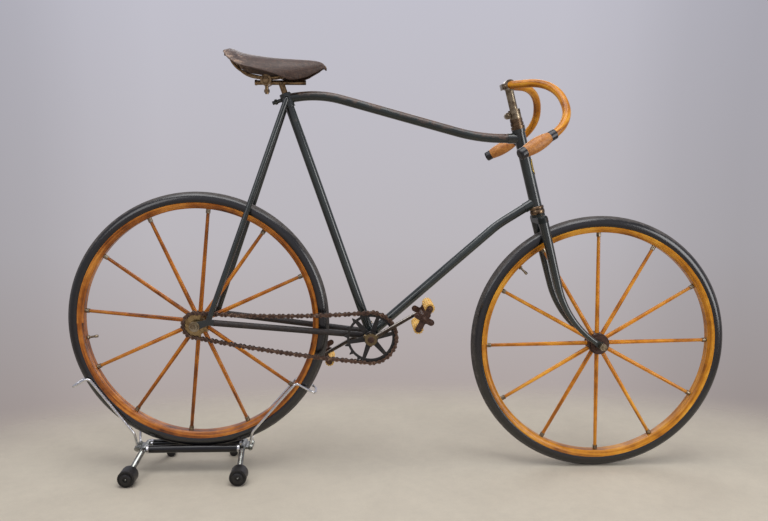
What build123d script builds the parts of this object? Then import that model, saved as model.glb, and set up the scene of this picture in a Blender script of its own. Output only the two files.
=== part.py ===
"""Safety bicycle with wooden wheels and handlebar, standing on a display stand.

Millimetres. X points forward from the middle of the wheelbase, Y to the rider's left and Z up
from the floor. The stand lifts the rear wheel, so the bicycle leans nose-down as it is shown.
"""
import os
from math import asin, atan2, ceil, cos, degrees, hypot, pi, radians, sin, sqrt, tan

from build123d import *

# Wheels
WHEELBASE = 1104.8
WHEEL_RADIUS = 355.6
TYRE_RADIUS = 20.0
REAR_LIFT = 68.0
RIM_INNER = 311.0
RIM_LIP = 327.0
RIM_WALL = 1.8
RIM_INNER_HALF = 11.0
SPOKE_COUNT = 12
SPOKE_HUB_RADIUS = 6.2
SPOKE_RIM_RADIUS = 4.6
FERRULE_LENGTH = 12.0
FERRULE_WALL = 1.6
FRONT_SPOKE_ANGLE = 1.0
REAR_SPOKE_ANGLE = -6.0
FRONT_VALVE_ANGLE = 46.0
REAR_VALVE_ANGLE = 98.0
VALVE_RADIUS = 3.0
VALVE_LENGTH = 24.0
HUB_RADIUS = 29.0
HUB_DRUM_HALF = 21.0
FLANGE_RADIUS = 24.0
FLANGE_HALF = 31.0
BARREL_RADIUS = 15.0
CONE_RADIUS = 11.0
AXLE_RADIUS = 4.8
FRONT_NUT = 14.0
REAR_NUT = 9.0
AXLE_NUT_RADIUS = 10.5
AXLE_WASHER = 2.5
AXLE_WASHER_RADIUS = 14.0
AXLE_STUB = 6.0
CONE_LENGTH = 7.0
CONE_STEP = 3.0
CONE_END_GAP = 0.5
RIM_SIDE_BEND = 24.0

# Fits
RUN_GAP = 0.1
REST_GAP = 0.3

# Frame tubes and their places
BRACKET_FORWARD = 469.9
BRACKET_DROP = 38.0
BRACKET_RADIUS = 22.0
BRACKET_WIDTH = 72.0
CUP_RADIUS = 19.0
CUP_LENGTH = 4.0
MAIN_TUBE_RADIUS = 12.5
LUG_WALL = 1.6
LUG_LENGTH = 34.0
SEAT_ANGLE = 70.9
SEAT_TUBE_LENGTH = 652.7
CLUSTER_RADIUS = 16.0
CLUSTER_LENGTH = 38.5
CLUSTER_BOLT_RADIUS = 5.0
CLUSTER_BOLT_REACH = 40.0
CLUSTER_BOLT_RISE = 25.0
CLUSTER_NUT_RADIUS = 8.0
CLUSTER_NUT = 7.0
TOP_TUBE_DROP = 13.5
TOP_TUBE_RISE = 7.9
TOP_TUBE_CREST = 90.0
TOP_TUBE_KNEE = 110.0
DOWN_TUBE_KNEE = 118.0
DOWN_TUBE_SLOPE = 31.5
# Bends of the main tubes, as the share of the shorter run beside the corner that they take up
CREST_BEND = 0.65
KNEE_BEND = 0.59
DOWN_TUBE_BEND = 0.21
SEAT_STAY_RADIUS = 7.4
CHAIN_STAY_RADIUS = 8.4
STAY_TOP_RISE = 22.0
STAY_TOP_HALF = 18.0
STAY_FRONT_HALF = 26.0
FORK_END_HALF = 68.0
FORK_END_PLATE = 6.0
FORK_END_EYE = 12.0
FORK_END_NECK = 7.5
STAY_JOINT_FORWARD = 36.0
STAY_JOINT_RISE = 11.0
STAY_JOINT_SPREAD = 16.0

# Steering head and fork
HEAD_ANGLE = 75.5
FORK_RAKE = 79.7
CROWN_CLEARANCE = 24.84
LOWER_RACE = 15.0
LOWER_RACE_SEAT = 5.0
HEAD_TUBE_LENGTH = 223.0
HEAD_TUBE_RADIUS = 16.0
HEAD_CUP_RADIUS = 18.5
HEAD_CUP_LENGTH = 9.0
UPPER_RACE = 29.0
COLLAR_LENGTH = 25.0
COLLAR_RADIUS = 16.0
STEERER_RADIUS = 12.6
STEM_RADIUS = 11.0
STEM_LENGTH = 48.7
STEM_CLAMP_WIDTH = 30.0
STEM_CLAMP_WALL = 4.5
TOP_TUBE_HEAD_DROP = 25.0
DOWN_TUBE_HEAD_RISE = 22.0
CROWN_HEIGHT = 20.0
CROWN_DEPTH = 28.0
CROWN_ROUND = 9.0
BLADE_HALF = 46.0
BLADE_TOP_RADIUS = 13.5
BLADE_TIP_RADIUS = 7.2
BLADE_BEND_START = 190.0
FORK_TIP_RADIUS = 10.5
FORK_TIP_PLATE = 6.0
BLADE_STOP = 20.0
COLLAR_EYE_RADIUS = 9.0
COLLAR_EYE_BACK = 20.0
COLLAR_EYE_WIDTH = 15.0
# Headset rings: share of the headset's height, and radius
HEADSET_RINGS = ((0.3, 18.5), (0.06, 15.5), (0.27, 17.6), (0.06, 15.5), (0.31, 16.8))

# Handlebar, in the steering frame: forward of the stem, sideways, and up from the clamp
BAR_RADIUS = 10.5
BAR_BACK = 15.0
BAR_RISE = 5.3
BAR_SHOULDER = (100.7, 94.7, -21.7)
BAR_CORNER = (92.0, 195.0, -134.5)
BAR_END = (-62.6, 241.7, -175.9)
BAR_CENTRE_BEND = 30.0
BAR_SHOULDER_BEND = 132.0
BAR_CORNER_BEND = 106.0
GRIP_LENGTH = 92.0
GRIP_START_RADIUS = 13.0
GRIP_RADIUS = 18.0
GRIP_END_RADIUS = 14.0
GRIP_CAP_LENGTH = 18.0
GRIP_CAP_ROUND = 5.0
BAR_FERRULE_LENGTH = 18.0
BAR_FERRULE_WALL = 2.2

# Drive
CHAIN_PITCH = 25.4
RING_TEETH = 17
SPROCKET_TEETH = 8
CHAIN_LINE = 52.0
TOOTH_WIDTH = 5.0
TOOTH_RISE = 4.4
TOOTH_ROOT = 4.6
TOOTH_BASE = 9.0
TOOTH_POINT = 0.8
RING_RIM = 6.5
RING_ARMS = 6
RING_ARM_ROOT = 17.0
RING_ARM_TIP = 9.0
RING_ARM_ANGLE = 11.0
RING_BOSS = 19.0
CHAIN_BLOCK_LENGTH = 14.0
CHAIN_BLOCK_HEIGHT = 8.4
CHAIN_BLOCK_WIDTH = 9.5
CHAIN_PLATE_HEIGHT = 10.4
CHAIN_PLATE_CORNER = 3.2
CHAIN_PLATE_WIDTH = 1.8
CHAIN_PLATE_GAP = 1.0
CHAIN_TOOTH_GAP = 0.6
TOP_RUN_SAG = 9.0
LOW_RUN_SAG = 7.0
BRACKET_AXLE_RADIUS = 8.0
CRANK_LENGTH = 154.2
CRANK_ANGLE = 29.9
CRANK_INSIDE = 64.5
CRANK_THICKNESS = 12.8
CRANK_BOSS = 16.5
CRANK_EYE = 9.5
CRANK_TIP_RADIUS = 4.8
PEDAL_START = 5.0
PEDAL_WIDTH = 98.0
PEDAL_PLATE = 3.0
RIGHT_PEDAL_ANGLE = 61.5
LEFT_PEDAL_ANGLE = 122.0
PEDAL_BLOCK_OFFSET = 30.0
PEDAL_BLOCK_RADIUS = 13.0
PEDAL_BLOCK_FLUTES = 12
PEDAL_FLUTE_RADIUS = 2.0
PEDAL_SHORT_ARM = 20.0
PEDAL_ARM_RADIUS = 8.0
PEDAL_HUB_RADIUS = 13.0
PEDAL_BARREL_RADIUS = 8.5
SPINDLE_RADIUS = 5.0

# Saddle and seat post
POST_RADIUS = 8.0
POST_RISE = 29.9
T_BAR_RADIUS = 6.3
T_BAR_BACK = 64.0
T_BAR_FORWARD = 66.0
SADDLE_CLAMP_BACK = 38.0
SADDLE_CLAMP_RISE = 5.0
SADDLE_CLAMP_RADIUS = 14.5
SADDLE_CLAMP_WIDTH = 46.0
SADDLE_BOLT_RADIUS = 5.0
SADDLE_BOLT_DROP = 30.0
SADDLE_NUT_RADIUS = 7.5
SADDLE_NUT = 8.0
SADDLE_WIRE_RADIUS = 3.4
SADDLE_WIRE_RISE = 13.0
SADDLE_WIRE_HALF = 18.0
SADDLE_WIRE_BEND = 30.0
SADDLE_WIRE_SEAT = 3.8
CANTLE_WIRE_SHARE = 0.7
NOSE_WIRE_SHARE = 0.25
LEATHER = 5.0
# Saddle sections: back from the seat post, half width, crown above the T-bar, skirt below the crown
SADDLE_SECTIONS = (
    (146.0, 56.0, 82.0, 9.0),
    (133.0, 80.0, 87.0, 27.0),
    (96.0, 87.0, 77.0, 36.0),
    (55.0, 72.0, 68.0, 38.0),
    (12.0, 54.0, 63.7, 46.0),
    (-28.0, 40.0, 61.0, 58.0),
    (-66.0, 28.0, 59.0, 51.0),
    (-98.0, 17.0, 55.5, 27.0),
    (-119.0, 9.0, 42.0, 8.0),
)

# Display stand
STAND_BAR_RADIUS = 10.5
STAND_BAR_HEIGHT = 68.0
STAND_LEG_RADIUS = 8.0
STAND_SHOULDER = 36.0
STAND_LEG_BEND = 22.0
# Stand legs: end, way along X, distance from the rear axle, right foot outward, left foot inward
STAND_LEGS = (
    ("rear", -1, 160.0, 22.0, 45.0),
    ("front", 1, 113.0, 0.0, 45.0),
)
RIGHT_FOOT_HALF = 103.0
RIGHT_FOOT_RADIUS = 23.0
RIGHT_FOOT_LENGTH = 38.0
LEFT_FOOT_HALF = 105.0
LEFT_FOOT_RADIUS = 12.0
LEFT_FOOT_LENGTH = 30.0
STAND_PLATE = 6.0
STAND_PLATE_REACH = 27.0
STAND_PLATE_WIDTH = 48.0
STAND_WIRE_RADIUS = 3.5
STAND_WIRE_HALF = 29.0
STAND_TAIL_HALF = 16.0
STAND_TAIL_OUT = 20.0
STAND_TAIL_REACH = 9.0
# Bends of a wire loop from its tail to its outer end, as multiples of the wire's radius
STAND_WIRE_BENDS = (6.0, 8.5, 3.5, 4.0)
# Wire loops: heel, bend and outer end, each outward and down from the rear axle in wheel radii
STAND_LOOPS = {
    "rear": ((0.512, 0.869), (0.846, 0.422), (0.973, 0.495)),
    "front": ((0.394, 0.869), (0.742, 0.476), (0.889, 0.56)),
}

# Points and axes that the pieces share
REAR_X = -WHEELBASE / 2
REAR_Z = REAR_LIFT + WHEEL_RADIUS
FRONT_X = WHEELBASE / 2
FRONT_Z = WHEEL_RADIUS
BRACKET_X = REAR_X + BRACKET_FORWARD
BRACKET_Z = REAR_Z - BRACKET_DROP
TYRE_CENTRE = WHEEL_RADIUS - TYRE_RADIUS

seat_up = Vector(-cos(radians(SEAT_ANGLE)), 0, sin(radians(SEAT_ANGLE)))
bracket_point = Vector(BRACKET_X, 0, BRACKET_Z)
seat_frame = Plane(origin=bracket_point, x_dir=(seat_up.Z, 0, -seat_up.X), z_dir=seat_up)

head_up = Vector(-cos(radians(HEAD_ANGLE)), 0, sin(radians(HEAD_ANGLE)))
head_forward = Vector(head_up.Z, 0, -head_up.X)
head_foot = Vector(FRONT_X, 0, FRONT_Z) - head_forward * FORK_RAKE
steering_frame = Plane(origin=head_foot, x_dir=head_forward, z_dir=head_up)

FORK_LENGTH = CROWN_HEIGHT + sqrt((WHEEL_RADIUS + CROWN_CLEARANCE) ** 2 - FORK_RAKE**2)
HEAD_BOTTOM = FORK_LENGTH + LOWER_RACE
HEAD_TOP = HEAD_BOTTOM + HEAD_TUBE_LENGTH
COLLAR_BOTTOM = HEAD_TOP + UPPER_RACE
COLLAR_TOP = COLLAR_BOTTOM + COLLAR_LENGTH
BAR_CENTRE = COLLAR_TOP + STEM_LENGTH + BAR_RADIUS + STEM_CLAMP_WALL


def steering_point(x, y, z):
    """Place a point given along the steering frame: forward, left and up the head axis."""
    return steering_frame.from_local_coords(Vector(x, y, z))


def bar_point(local, side):
    """Place a handlebar point, given from the bar clamp, on the left (1) or right (-1)."""
    x, y, z = local
    return steering_point(x, side * y, BAR_CENTRE + z)


def side_plane(y):
    """Sketch plane seen from the right, at the given distance to the left."""
    return Plane.XZ.offset(-y)


def along(start, end):
    """Plane at start whose normal runs to end."""
    return Plane(origin=start, z_dir=Vector(end) - Vector(start))


def bend_radius(before, corner, after, share):
    """Radius of a bend that takes up the given share of the shorter run beside its corner."""
    run_in = corner - before
    run_out = after - corner
    turn = radians(run_in.get_angle(run_out))
    return share * min(run_in.length, run_out.length) / tan(turn / 2)


def radial_planes(x, z, radius, count, first):
    """Planes facing outwards round a wheel's axle, the angles counted from straight up."""
    planes = []
    for index in range(count):
        angle = radians(first + 90 + index * 360 / count)
        outward = Vector(cos(angle), 0, sin(angle))
        planes.append(Plane(origin=Vector(x, 0, z) + outward * radius, z_dir=outward))
    return planes


# Frame: bottom bracket shell with its two cups
with BuildPart() as bottom_bracket_shell:
    with BuildSketch(side_plane(0)):
        with Locations((BRACKET_X, BRACKET_Z)):
            Circle(BRACKET_RADIUS)
    extrude(amount=BRACKET_WIDTH / 2 - CUP_LENGTH, both=True)
    with BuildSketch(side_plane(0)):
        with Locations((BRACKET_X, BRACKET_Z)):
            Circle(CUP_RADIUS)
    extrude(amount=BRACKET_WIDTH / 2, both=True)
    with BuildSketch(side_plane(0)):
        with Locations((BRACKET_X, BRACKET_Z)):
            Circle(BRACKET_AXLE_RADIUS + RUN_GAP)
    extrude(amount=BRACKET_WIDTH, both=True, mode=Mode.SUBTRACT)
bottom_bracket_shell.part.label = "bottom_bracket_shell"

# Frame: seat cluster, a lug on the seat tube with its binder bolt behind
with BuildPart() as seat_cluster:
    with BuildSketch(seat_frame.offset(SEAT_TUBE_LENGTH)):
        Circle(CLUSTER_RADIUS)
    extrude(amount=CLUSTER_LENGTH)
    fillet(seat_cluster.edges().filter_by(GeomType.CIRCLE), LUG_WALL)
    binder = seat_frame.from_local_coords(Vector(0, 0, SEAT_TUBE_LENGTH + CLUSTER_BOLT_RISE))
    binder_plane = Plane(origin=binder, x_dir=(0, 1, 0), z_dir=-seat_frame.x_dir)
    with BuildSketch(binder_plane):
        Circle(CLUSTER_BOLT_RADIUS)
    extrude(amount=CLUSTER_BOLT_REACH)
    with BuildSketch(binder_plane.offset(CLUSTER_BOLT_REACH - 2 * CLUSTER_NUT)):
        RegularPolygon(CLUSTER_NUT_RADIUS, 6)
    extrude(amount=CLUSTER_NUT)
    with BuildSketch(seat_frame.offset(SEAT_TUBE_LENGTH + CLUSTER_LENGTH / 2)):
        Circle(POST_RADIUS)
    extrude(amount=CLUSTER_LENGTH, mode=Mode.SUBTRACT)
seat_cluster.part.label = "seat_cluster"

# Frame: seat tube, mitred onto the bracket shell
with BuildPart() as seat_tube:
    with BuildSketch(seat_frame):
        Circle(MAIN_TUBE_RADIUS)
    extrude(amount=SEAT_TUBE_LENGTH)
    with BuildSketch(side_plane(0)):
        with Locations((BRACKET_X, BRACKET_Z)):
            Circle(BRACKET_RADIUS)
    extrude(amount=BRACKET_WIDTH, both=True, mode=Mode.SUBTRACT)
seat_tube.part.label = "seat_tube"

# Frame: top tube, which leaves the seat rising, dips to the head and levels out there
top_start = seat_frame.from_local_coords(Vector(0, 0, SEAT_TUBE_LENGTH + CLUSTER_LENGTH - TOP_TUBE_DROP))
top_end = steering_point(0, 0, HEAD_TOP - TOP_TUBE_HEAD_DROP)
top_crest = top_start + Vector(TOP_TUBE_CREST, 0, TOP_TUBE_CREST * tan(radians(TOP_TUBE_RISE)))
top_knee = top_end - Vector(TOP_TUBE_KNEE, 0, 0)
with BuildPart() as top_tube:
    with BuildLine() as top_path:
        crest_bend = bend_radius(top_start, top_crest, top_knee, CREST_BEND)
        knee_bend = bend_radius(top_crest, top_knee, top_end, KNEE_BEND)
        FilletPolyline(top_start, top_crest, top_knee, top_end, radius=[crest_bend, knee_bend])
    with BuildSketch(along(top_start, top_crest)):
        Circle(MAIN_TUBE_RADIUS)
    sweep()
    with BuildSketch(seat_frame.offset(SEAT_TUBE_LENGTH - CLUSTER_LENGTH)):
        Circle(CLUSTER_RADIUS)
    extrude(amount=3 * CLUSTER_LENGTH, mode=Mode.SUBTRACT)
    with BuildSketch(steering_frame.offset(HEAD_BOTTOM)):
        Circle(HEAD_TUBE_RADIUS)
    extrude(amount=HEAD_TUBE_LENGTH, mode=Mode.SUBTRACT)
top_tube.part.label = "top_tube"

# Frame: down tube, which eases off before it meets the head
down_end = steering_point(0, 0, HEAD_BOTTOM + DOWN_TUBE_HEAD_RISE)
down_lean = Vector(cos(radians(DOWN_TUBE_SLOPE)), 0, sin(radians(DOWN_TUBE_SLOPE)))
down_knee = down_end - down_lean * DOWN_TUBE_KNEE
with BuildPart() as down_tube:
    with BuildLine() as down_path:
        down_bend = bend_radius(bracket_point, down_knee, down_end, DOWN_TUBE_BEND)
        FilletPolyline(bracket_point, down_knee, down_end, radius=[down_bend])
    with BuildSketch(along(bracket_point, down_knee)):
        Circle(MAIN_TUBE_RADIUS)
    sweep()
    with BuildSketch(side_plane(0)):
        with Locations((BRACKET_X, BRACKET_Z)):
            Circle(BRACKET_RADIUS)
    extrude(amount=BRACKET_WIDTH, both=True, mode=Mode.SUBTRACT)
    add(seat_tube.part, mode=Mode.SUBTRACT)
    with BuildSketch(steering_frame.offset(HEAD_BOTTOM)):
        Circle(HEAD_TUBE_RADIUS)
    extrude(amount=HEAD_TUBE_LENGTH, mode=Mode.SUBTRACT)
down_tube.part.label = "down_tube"

# Frame: head tube with a cup at each end and a lug round each main tube
with BuildPart() as head_tube:
    with BuildSketch(steering_frame.offset(HEAD_BOTTOM)):
        Circle(HEAD_TUBE_RADIUS)
    extrude(amount=HEAD_TUBE_LENGTH)
    for cup_start in (HEAD_BOTTOM, HEAD_TOP - HEAD_CUP_LENGTH):
        with BuildSketch(steering_frame.offset(cup_start)):
            Circle(HEAD_CUP_RADIUS)
        extrude(amount=HEAD_CUP_LENGTH)
    for lug_end, lug_inner in ((top_end, top_knee), (down_end, down_knee)):
        with BuildSketch(along(lug_end, lug_inner)):
            Circle(MAIN_TUBE_RADIUS + LUG_WALL)
        extrude(amount=LUG_LENGTH)
    add(top_tube.part, mode=Mode.SUBTRACT)
    add(down_tube.part, mode=Mode.SUBTRACT)
    with BuildSketch(steering_frame.offset(HEAD_BOTTOM)):
        Circle(STEERER_RADIUS + RUN_GAP)
    extrude(amount=HEAD_TUBE_LENGTH, mode=Mode.SUBTRACT)
head_tube.part.label = "head_tube"

# Frame: rear fork ends, a forged plate each side that holds the axle behind the stays
joint_x = REAR_X + STAY_JOINT_FORWARD
joint_z = REAR_Z + STAY_JOINT_RISE
stay_top = seat_frame.from_local_coords(Vector(0, 0, SEAT_TUBE_LENGTH + STAY_TOP_RISE))
stay_rise = Vector(stay_top.X - joint_x, 0, stay_top.Z - joint_z).normalized()
stay_run = Vector(BRACKET_X - joint_x, 0, BRACKET_Z - joint_z).normalized()
seat_stay_x = joint_x + stay_rise.X * STAY_JOINT_SPREAD
seat_stay_z = joint_z + stay_rise.Z * STAY_JOINT_SPREAD
chain_stay_x = joint_x + stay_run.X * STAY_JOINT_SPREAD
chain_stay_z = joint_z + stay_run.Z * STAY_JOINT_SPREAD
fork_end_arms = (
    (REAR_X, REAR_Z, FORK_END_EYE),
    (seat_stay_x, seat_stay_z, SEAT_STAY_RADIUS),
    (chain_stay_x, chain_stay_z, CHAIN_STAY_RADIUS),
)
with BuildPart() as rear_fork_ends:
    for side in (-1, 1):
        with BuildSketch(side_plane(side * FORK_END_HALF)):
            for arm_x, arm_z, arm_radius in fork_end_arms:
                with BuildSketch(mode=Mode.PRIVATE) as arm:
                    with Locations((joint_x, joint_z)):
                        Circle(FORK_END_NECK)
                    with Locations((arm_x, arm_z)):
                        Circle(arm_radius)
                    make_hull()
                add(arm.sketch)
            with Locations((REAR_X, REAR_Z)):
                Circle(AXLE_RADIUS, mode=Mode.SUBTRACT)
        extrude(amount=FORK_END_PLATE / 2, both=True)
rear_fork_ends.part.label = "rear_fork_ends"

# Frame: seat stays and chain stays, slotted over the fork ends
with BuildPart() as seat_stays:
    for side in (-1, 1):
        stay_foot = Vector(seat_stay_x, side * FORK_END_HALF, seat_stay_z)
        stay_head = stay_top + Vector(0, side * STAY_TOP_HALF, 0)
        with BuildSketch(along(stay_foot, stay_head)):
            Circle(SEAT_STAY_RADIUS)
        extrude(amount=(stay_head - stay_foot).length)
        with Locations(stay_head):
            Sphere(SEAT_STAY_RADIUS)
    add(rear_fork_ends.part, mode=Mode.SUBTRACT)
    with BuildSketch(seat_frame.offset(SEAT_TUBE_LENGTH - CLUSTER_LENGTH)):
        Circle(CLUSTER_RADIUS)
    extrude(amount=3 * CLUSTER_LENGTH, mode=Mode.SUBTRACT)
seat_stays.part.label = "seat_stays"

with BuildPart() as chain_stays:
    for side in (-1, 1):
        stay_foot = Vector(chain_stay_x, side * FORK_END_HALF, chain_stay_z)
        stay_head = bracket_point + Vector(0, side * STAY_FRONT_HALF, 0)
        with BuildSketch(along(stay_foot, stay_head)):
            Circle(CHAIN_STAY_RADIUS)
        extrude(amount=(stay_head - stay_foot).length)
    add(rear_fork_ends.part, mode=Mode.SUBTRACT)
    with BuildSketch(side_plane(0)):
        with Locations((BRACKET_X, BRACKET_Z)):
            Circle(BRACKET_RADIUS)
    extrude(amount=BRACKET_WIDTH, both=True, mode=Mode.SUBTRACT)
chain_stays.part.label = "chain_stays"

# Wheels: both are alike apart from the hub's length and the turn of spokes and valve
def wheel_section(x, z):
    """Plane through an axle whose sketch runs along the axle (first) and out from it (second)."""
    return Plane(origin=(x, 0, z), x_dir=(0, 1, 0), z_dir=(1, 0, 0))


def axle_line(x, z):
    """The axle of a wheel as an axis."""
    return Axis((x, 0, z), (0, 1, 0))


FROM_BASE = (Align.CENTER, Align.CENTER, Align.MIN)
lip_half = sqrt(TYRE_RADIUS**2 - (TYRE_CENTRE - RIM_LIP) ** 2)
HUB_HALF_FRONT = BLADE_HALF - FORK_TIP_PLATE / 2 - CONE_END_GAP
HUB_HALF_REAR = CHAIN_LINE + TOOTH_WIDTH / 2
FRONT_BARREL = HUB_HALF_FRONT - CONE_LENGTH
REAR_BARREL = HUB_HALF_REAR - TOOTH_WIDTH
# Wheel table: name, axle X, axle Z, turn of the first spoke, turn of the valve, half hub, half barrel
WHEELS = (
    ("front", FRONT_X, FRONT_Z, FRONT_SPOKE_ANGLE, FRONT_VALVE_ANGLE, HUB_HALF_FRONT, FRONT_BARREL),
    ("rear", REAR_X, REAR_Z, REAR_SPOKE_ANGLE, REAR_VALVE_ANGLE, HUB_HALF_REAR, REAR_BARREL),
)
wheel_pieces = []
for wheel, axle_x, axle_z, spoke_turn, valve_turn, hub_half, barrel_half in WHEELS:
    with BuildPart() as tyre:
        with BuildSketch(wheel_section(axle_x, axle_z)):
            with Locations((0, TYRE_CENTRE)):
                Circle(TYRE_RADIUS)
        revolve(axis=axle_line(axle_x, axle_z))
    tyre.part.label = f"{wheel}_tyre"

    with BuildPart() as rim:
        with BuildSketch(wheel_section(axle_x, axle_z)):
            with BuildLine():
                Line((-RIM_INNER_HALF, RIM_INNER), (RIM_INNER_HALF, RIM_INNER))
                RadiusArc((RIM_INNER_HALF, RIM_INNER), (lip_half + RIM_WALL, RIM_LIP), -RIM_SIDE_BEND)
                Line((lip_half + RIM_WALL, RIM_LIP), (lip_half, RIM_LIP))
                ThreePointArc((lip_half, RIM_LIP), (0, TYRE_CENTRE - TYRE_RADIUS), (-lip_half, RIM_LIP))
                Line((-lip_half, RIM_LIP), (-lip_half - RIM_WALL, RIM_LIP))
                RadiusArc((-lip_half - RIM_WALL, RIM_LIP), (-RIM_INNER_HALF, RIM_INNER), -RIM_SIDE_BEND)
            make_face()
        revolve(axis=axle_line(axle_x, axle_z))
    rim.part.label = f"{wheel}_rim"

    with BuildPart() as hub:
        with BuildSketch(wheel_section(axle_x, axle_z)):
            with BuildLine():
                Polyline(
                    (-hub_half, AXLE_RADIUS + RUN_GAP),
                    (-hub_half, CONE_RADIUS),
                    (-barrel_half, CONE_RADIUS),
                    (-barrel_half, BARREL_RADIUS),
                    (-FLANGE_HALF, BARREL_RADIUS),
                    (-FLANGE_HALF, FLANGE_RADIUS),
                    (-HUB_DRUM_HALF, FLANGE_RADIUS),
                    (-HUB_DRUM_HALF, HUB_RADIUS),
                    (HUB_DRUM_HALF, HUB_RADIUS),
                    (HUB_DRUM_HALF, FLANGE_RADIUS),
                    (FLANGE_HALF, FLANGE_RADIUS),
                    (FLANGE_HALF, BARREL_RADIUS),
                    (barrel_half, BARREL_RADIUS),
                    (barrel_half, CONE_RADIUS),
                    (hub_half, CONE_RADIUS),
                    (hub_half, AXLE_RADIUS + RUN_GAP),
                    close=True,
                )
            make_face()
        revolve(axis=axle_line(axle_x, axle_z))
    hub.part.label = f"{wheel}_hub"

    spoke_planes = radial_planes(axle_x, axle_z, HUB_RADIUS / 2, SPOKE_COUNT, spoke_turn)
    tip_planes = radial_planes(axle_x, axle_z, RIM_INNER - FERRULE_LENGTH, SPOKE_COUNT, spoke_turn)
    spoke_reach = RIM_INNER - FERRULE_LENGTH - HUB_RADIUS / 2
    with BuildPart() as spokes:
        with Locations(*spoke_planes):
            Cone(SPOKE_HUB_RADIUS, SPOKE_RIM_RADIUS, spoke_reach, align=FROM_BASE)
        with Locations(*tip_planes):
            Cylinder(SPOKE_RIM_RADIUS, FERRULE_LENGTH + RIM_WALL, align=FROM_BASE)
        with BuildSketch(Plane(origin=(axle_x, 0, axle_z), z_dir=(0, 1, 0))):
            Circle(RIM_INNER)
            Circle(HUB_RADIUS, mode=Mode.SUBTRACT)
        extrude(amount=HUB_DRUM_HALF, both=True, mode=Mode.INTERSECT)
    spokes.part.label = f"{wheel}_spokes"

    with BuildPart() as ferrules:
        with Locations(*tip_planes):
            Cylinder(SPOKE_RIM_RADIUS + FERRULE_WALL, FERRULE_LENGTH + RIM_WALL, align=FROM_BASE)
            Cylinder(SPOKE_RIM_RADIUS, FERRULE_LENGTH + RIM_WALL, align=FROM_BASE, mode=Mode.SUBTRACT)
        with BuildSketch(Plane(origin=(axle_x, 0, axle_z), z_dir=(0, 1, 0))):
            Circle(RIM_INNER)
        extrude(amount=HUB_DRUM_HALF, both=True, mode=Mode.INTERSECT)
    ferrules.part.label = f"{wheel}_spoke_ferrules"

    with BuildPart() as valve:
        with Locations(*radial_planes(axle_x, axle_z, RIM_INNER - VALVE_LENGTH, 1, valve_turn)):
            Cylinder(VALVE_RADIUS, VALVE_LENGTH + RIM_WALL, align=FROM_BASE)
        with BuildSketch(Plane(origin=(axle_x, 0, axle_z), z_dir=(0, 1, 0))):
            Circle(RIM_INNER)
        extrude(amount=HUB_DRUM_HALF, both=True, mode=Mode.INTERSECT)
    valve.part.label = f"{wheel}_valve"
    wheel_pieces += [tyre, rim, hub, spokes, ferrules, valve]

# Rear axle with its cones, washers and nuts
WASHER_INNER = FORK_END_HALF + FORK_END_PLATE / 2
REAR_NUT_INNER = WASHER_INNER + AXLE_WASHER
with BuildPart() as rear_axle:
    with BuildSketch(side_plane(0)):
        with Locations((REAR_X, REAR_Z)):
            Circle(AXLE_RADIUS)
    extrude(amount=REAR_NUT_INNER + REAR_NUT + AXLE_STUB, both=True)
    for side in (-1, 1):
        with BuildSketch(side_plane(side * (HUB_HALF_REAR + CONE_END_GAP))):
            with Locations((REAR_X, REAR_Z)):
                Circle(CONE_RADIUS - CONE_STEP)
        extrude(amount=-side * (FORK_END_HALF - FORK_END_PLATE / 2 - HUB_HALF_REAR - CONE_END_GAP))
        with BuildSketch(side_plane(side * WASHER_INNER)):
            with Locations((REAR_X, REAR_Z)):
                Circle(AXLE_WASHER_RADIUS)
        extrude(amount=-side * AXLE_WASHER)
        with BuildSketch(side_plane(side * REAR_NUT_INNER)):
            with Locations((REAR_X, REAR_Z)):
                RegularPolygon(AXLE_NUT_RADIUS, 6)
        extrude(amount=-side * REAR_NUT)
rear_axle.part.label = "rear_axle"

# Front axle with its nuts, held by the fork tips
FRONT_NUT_INNER = BLADE_HALF + FORK_TIP_PLATE / 2
with BuildPart() as front_axle:
    with BuildSketch(side_plane(0)):
        with Locations((FRONT_X, FRONT_Z)):
            Circle(AXLE_RADIUS)
    extrude(amount=FRONT_NUT_INNER + FRONT_NUT + AXLE_STUB, both=True)
    for side in (-1, 1):
        with BuildSketch(side_plane(side * FRONT_NUT_INNER)):
            with Locations((FRONT_X, FRONT_Z)):
                RegularPolygon(AXLE_NUT_RADIUS, 6)
        extrude(amount=-side * FRONT_NUT)
front_axle.part.label = "front_axle"

# Fork: crown, lower race and steerer in one piece
with BuildPart() as fork_crown:
    with BuildSketch(steering_frame.offset(FORK_LENGTH - CROWN_HEIGHT)):
        SlotOverall(2 * (BLADE_HALF + BLADE_TOP_RADIUS), CROWN_DEPTH, rotation=90)
    extrude(amount=CROWN_HEIGHT)
    fillet(fork_crown.faces().sort_by(Axis(head_foot, head_up))[-1].edges(), CROWN_ROUND)
    with BuildSketch(steering_frame.offset(FORK_LENGTH - LOWER_RACE_SEAT)):
        Circle(HEAD_CUP_RADIUS)
    extrude(amount=LOWER_RACE + LOWER_RACE_SEAT - REST_GAP)
    with BuildSketch(steering_frame.offset(FORK_LENGTH)):
        Circle(STEERER_RADIUS)
    extrude(amount=COLLAR_BOTTOM - FORK_LENGTH)
fork_crown.part.label = "fork_crown"

# Fork: blades that bend forward to the axle, slotted over flat tips
blade_bend = (FORK_RAKE**2 + BLADE_BEND_START**2) / (2 * FORK_RAKE)
blade_turn = degrees(asin(BLADE_BEND_START / blade_bend))
blade_stop = blade_turn - degrees(BLADE_STOP / blade_bend)
tip_x = blade_bend * (1 - cos(radians(blade_stop)))
tip_z = BLADE_BEND_START - blade_bend * sin(radians(blade_stop))


def blade_plane(y):
    """Sketch plane of one fork blade: forward, and up the head axis, from the axle's level."""
    return Plane(origin=steering_point(0, y, 0), x_dir=head_forward, z_dir=(0, -1, 0))


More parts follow.
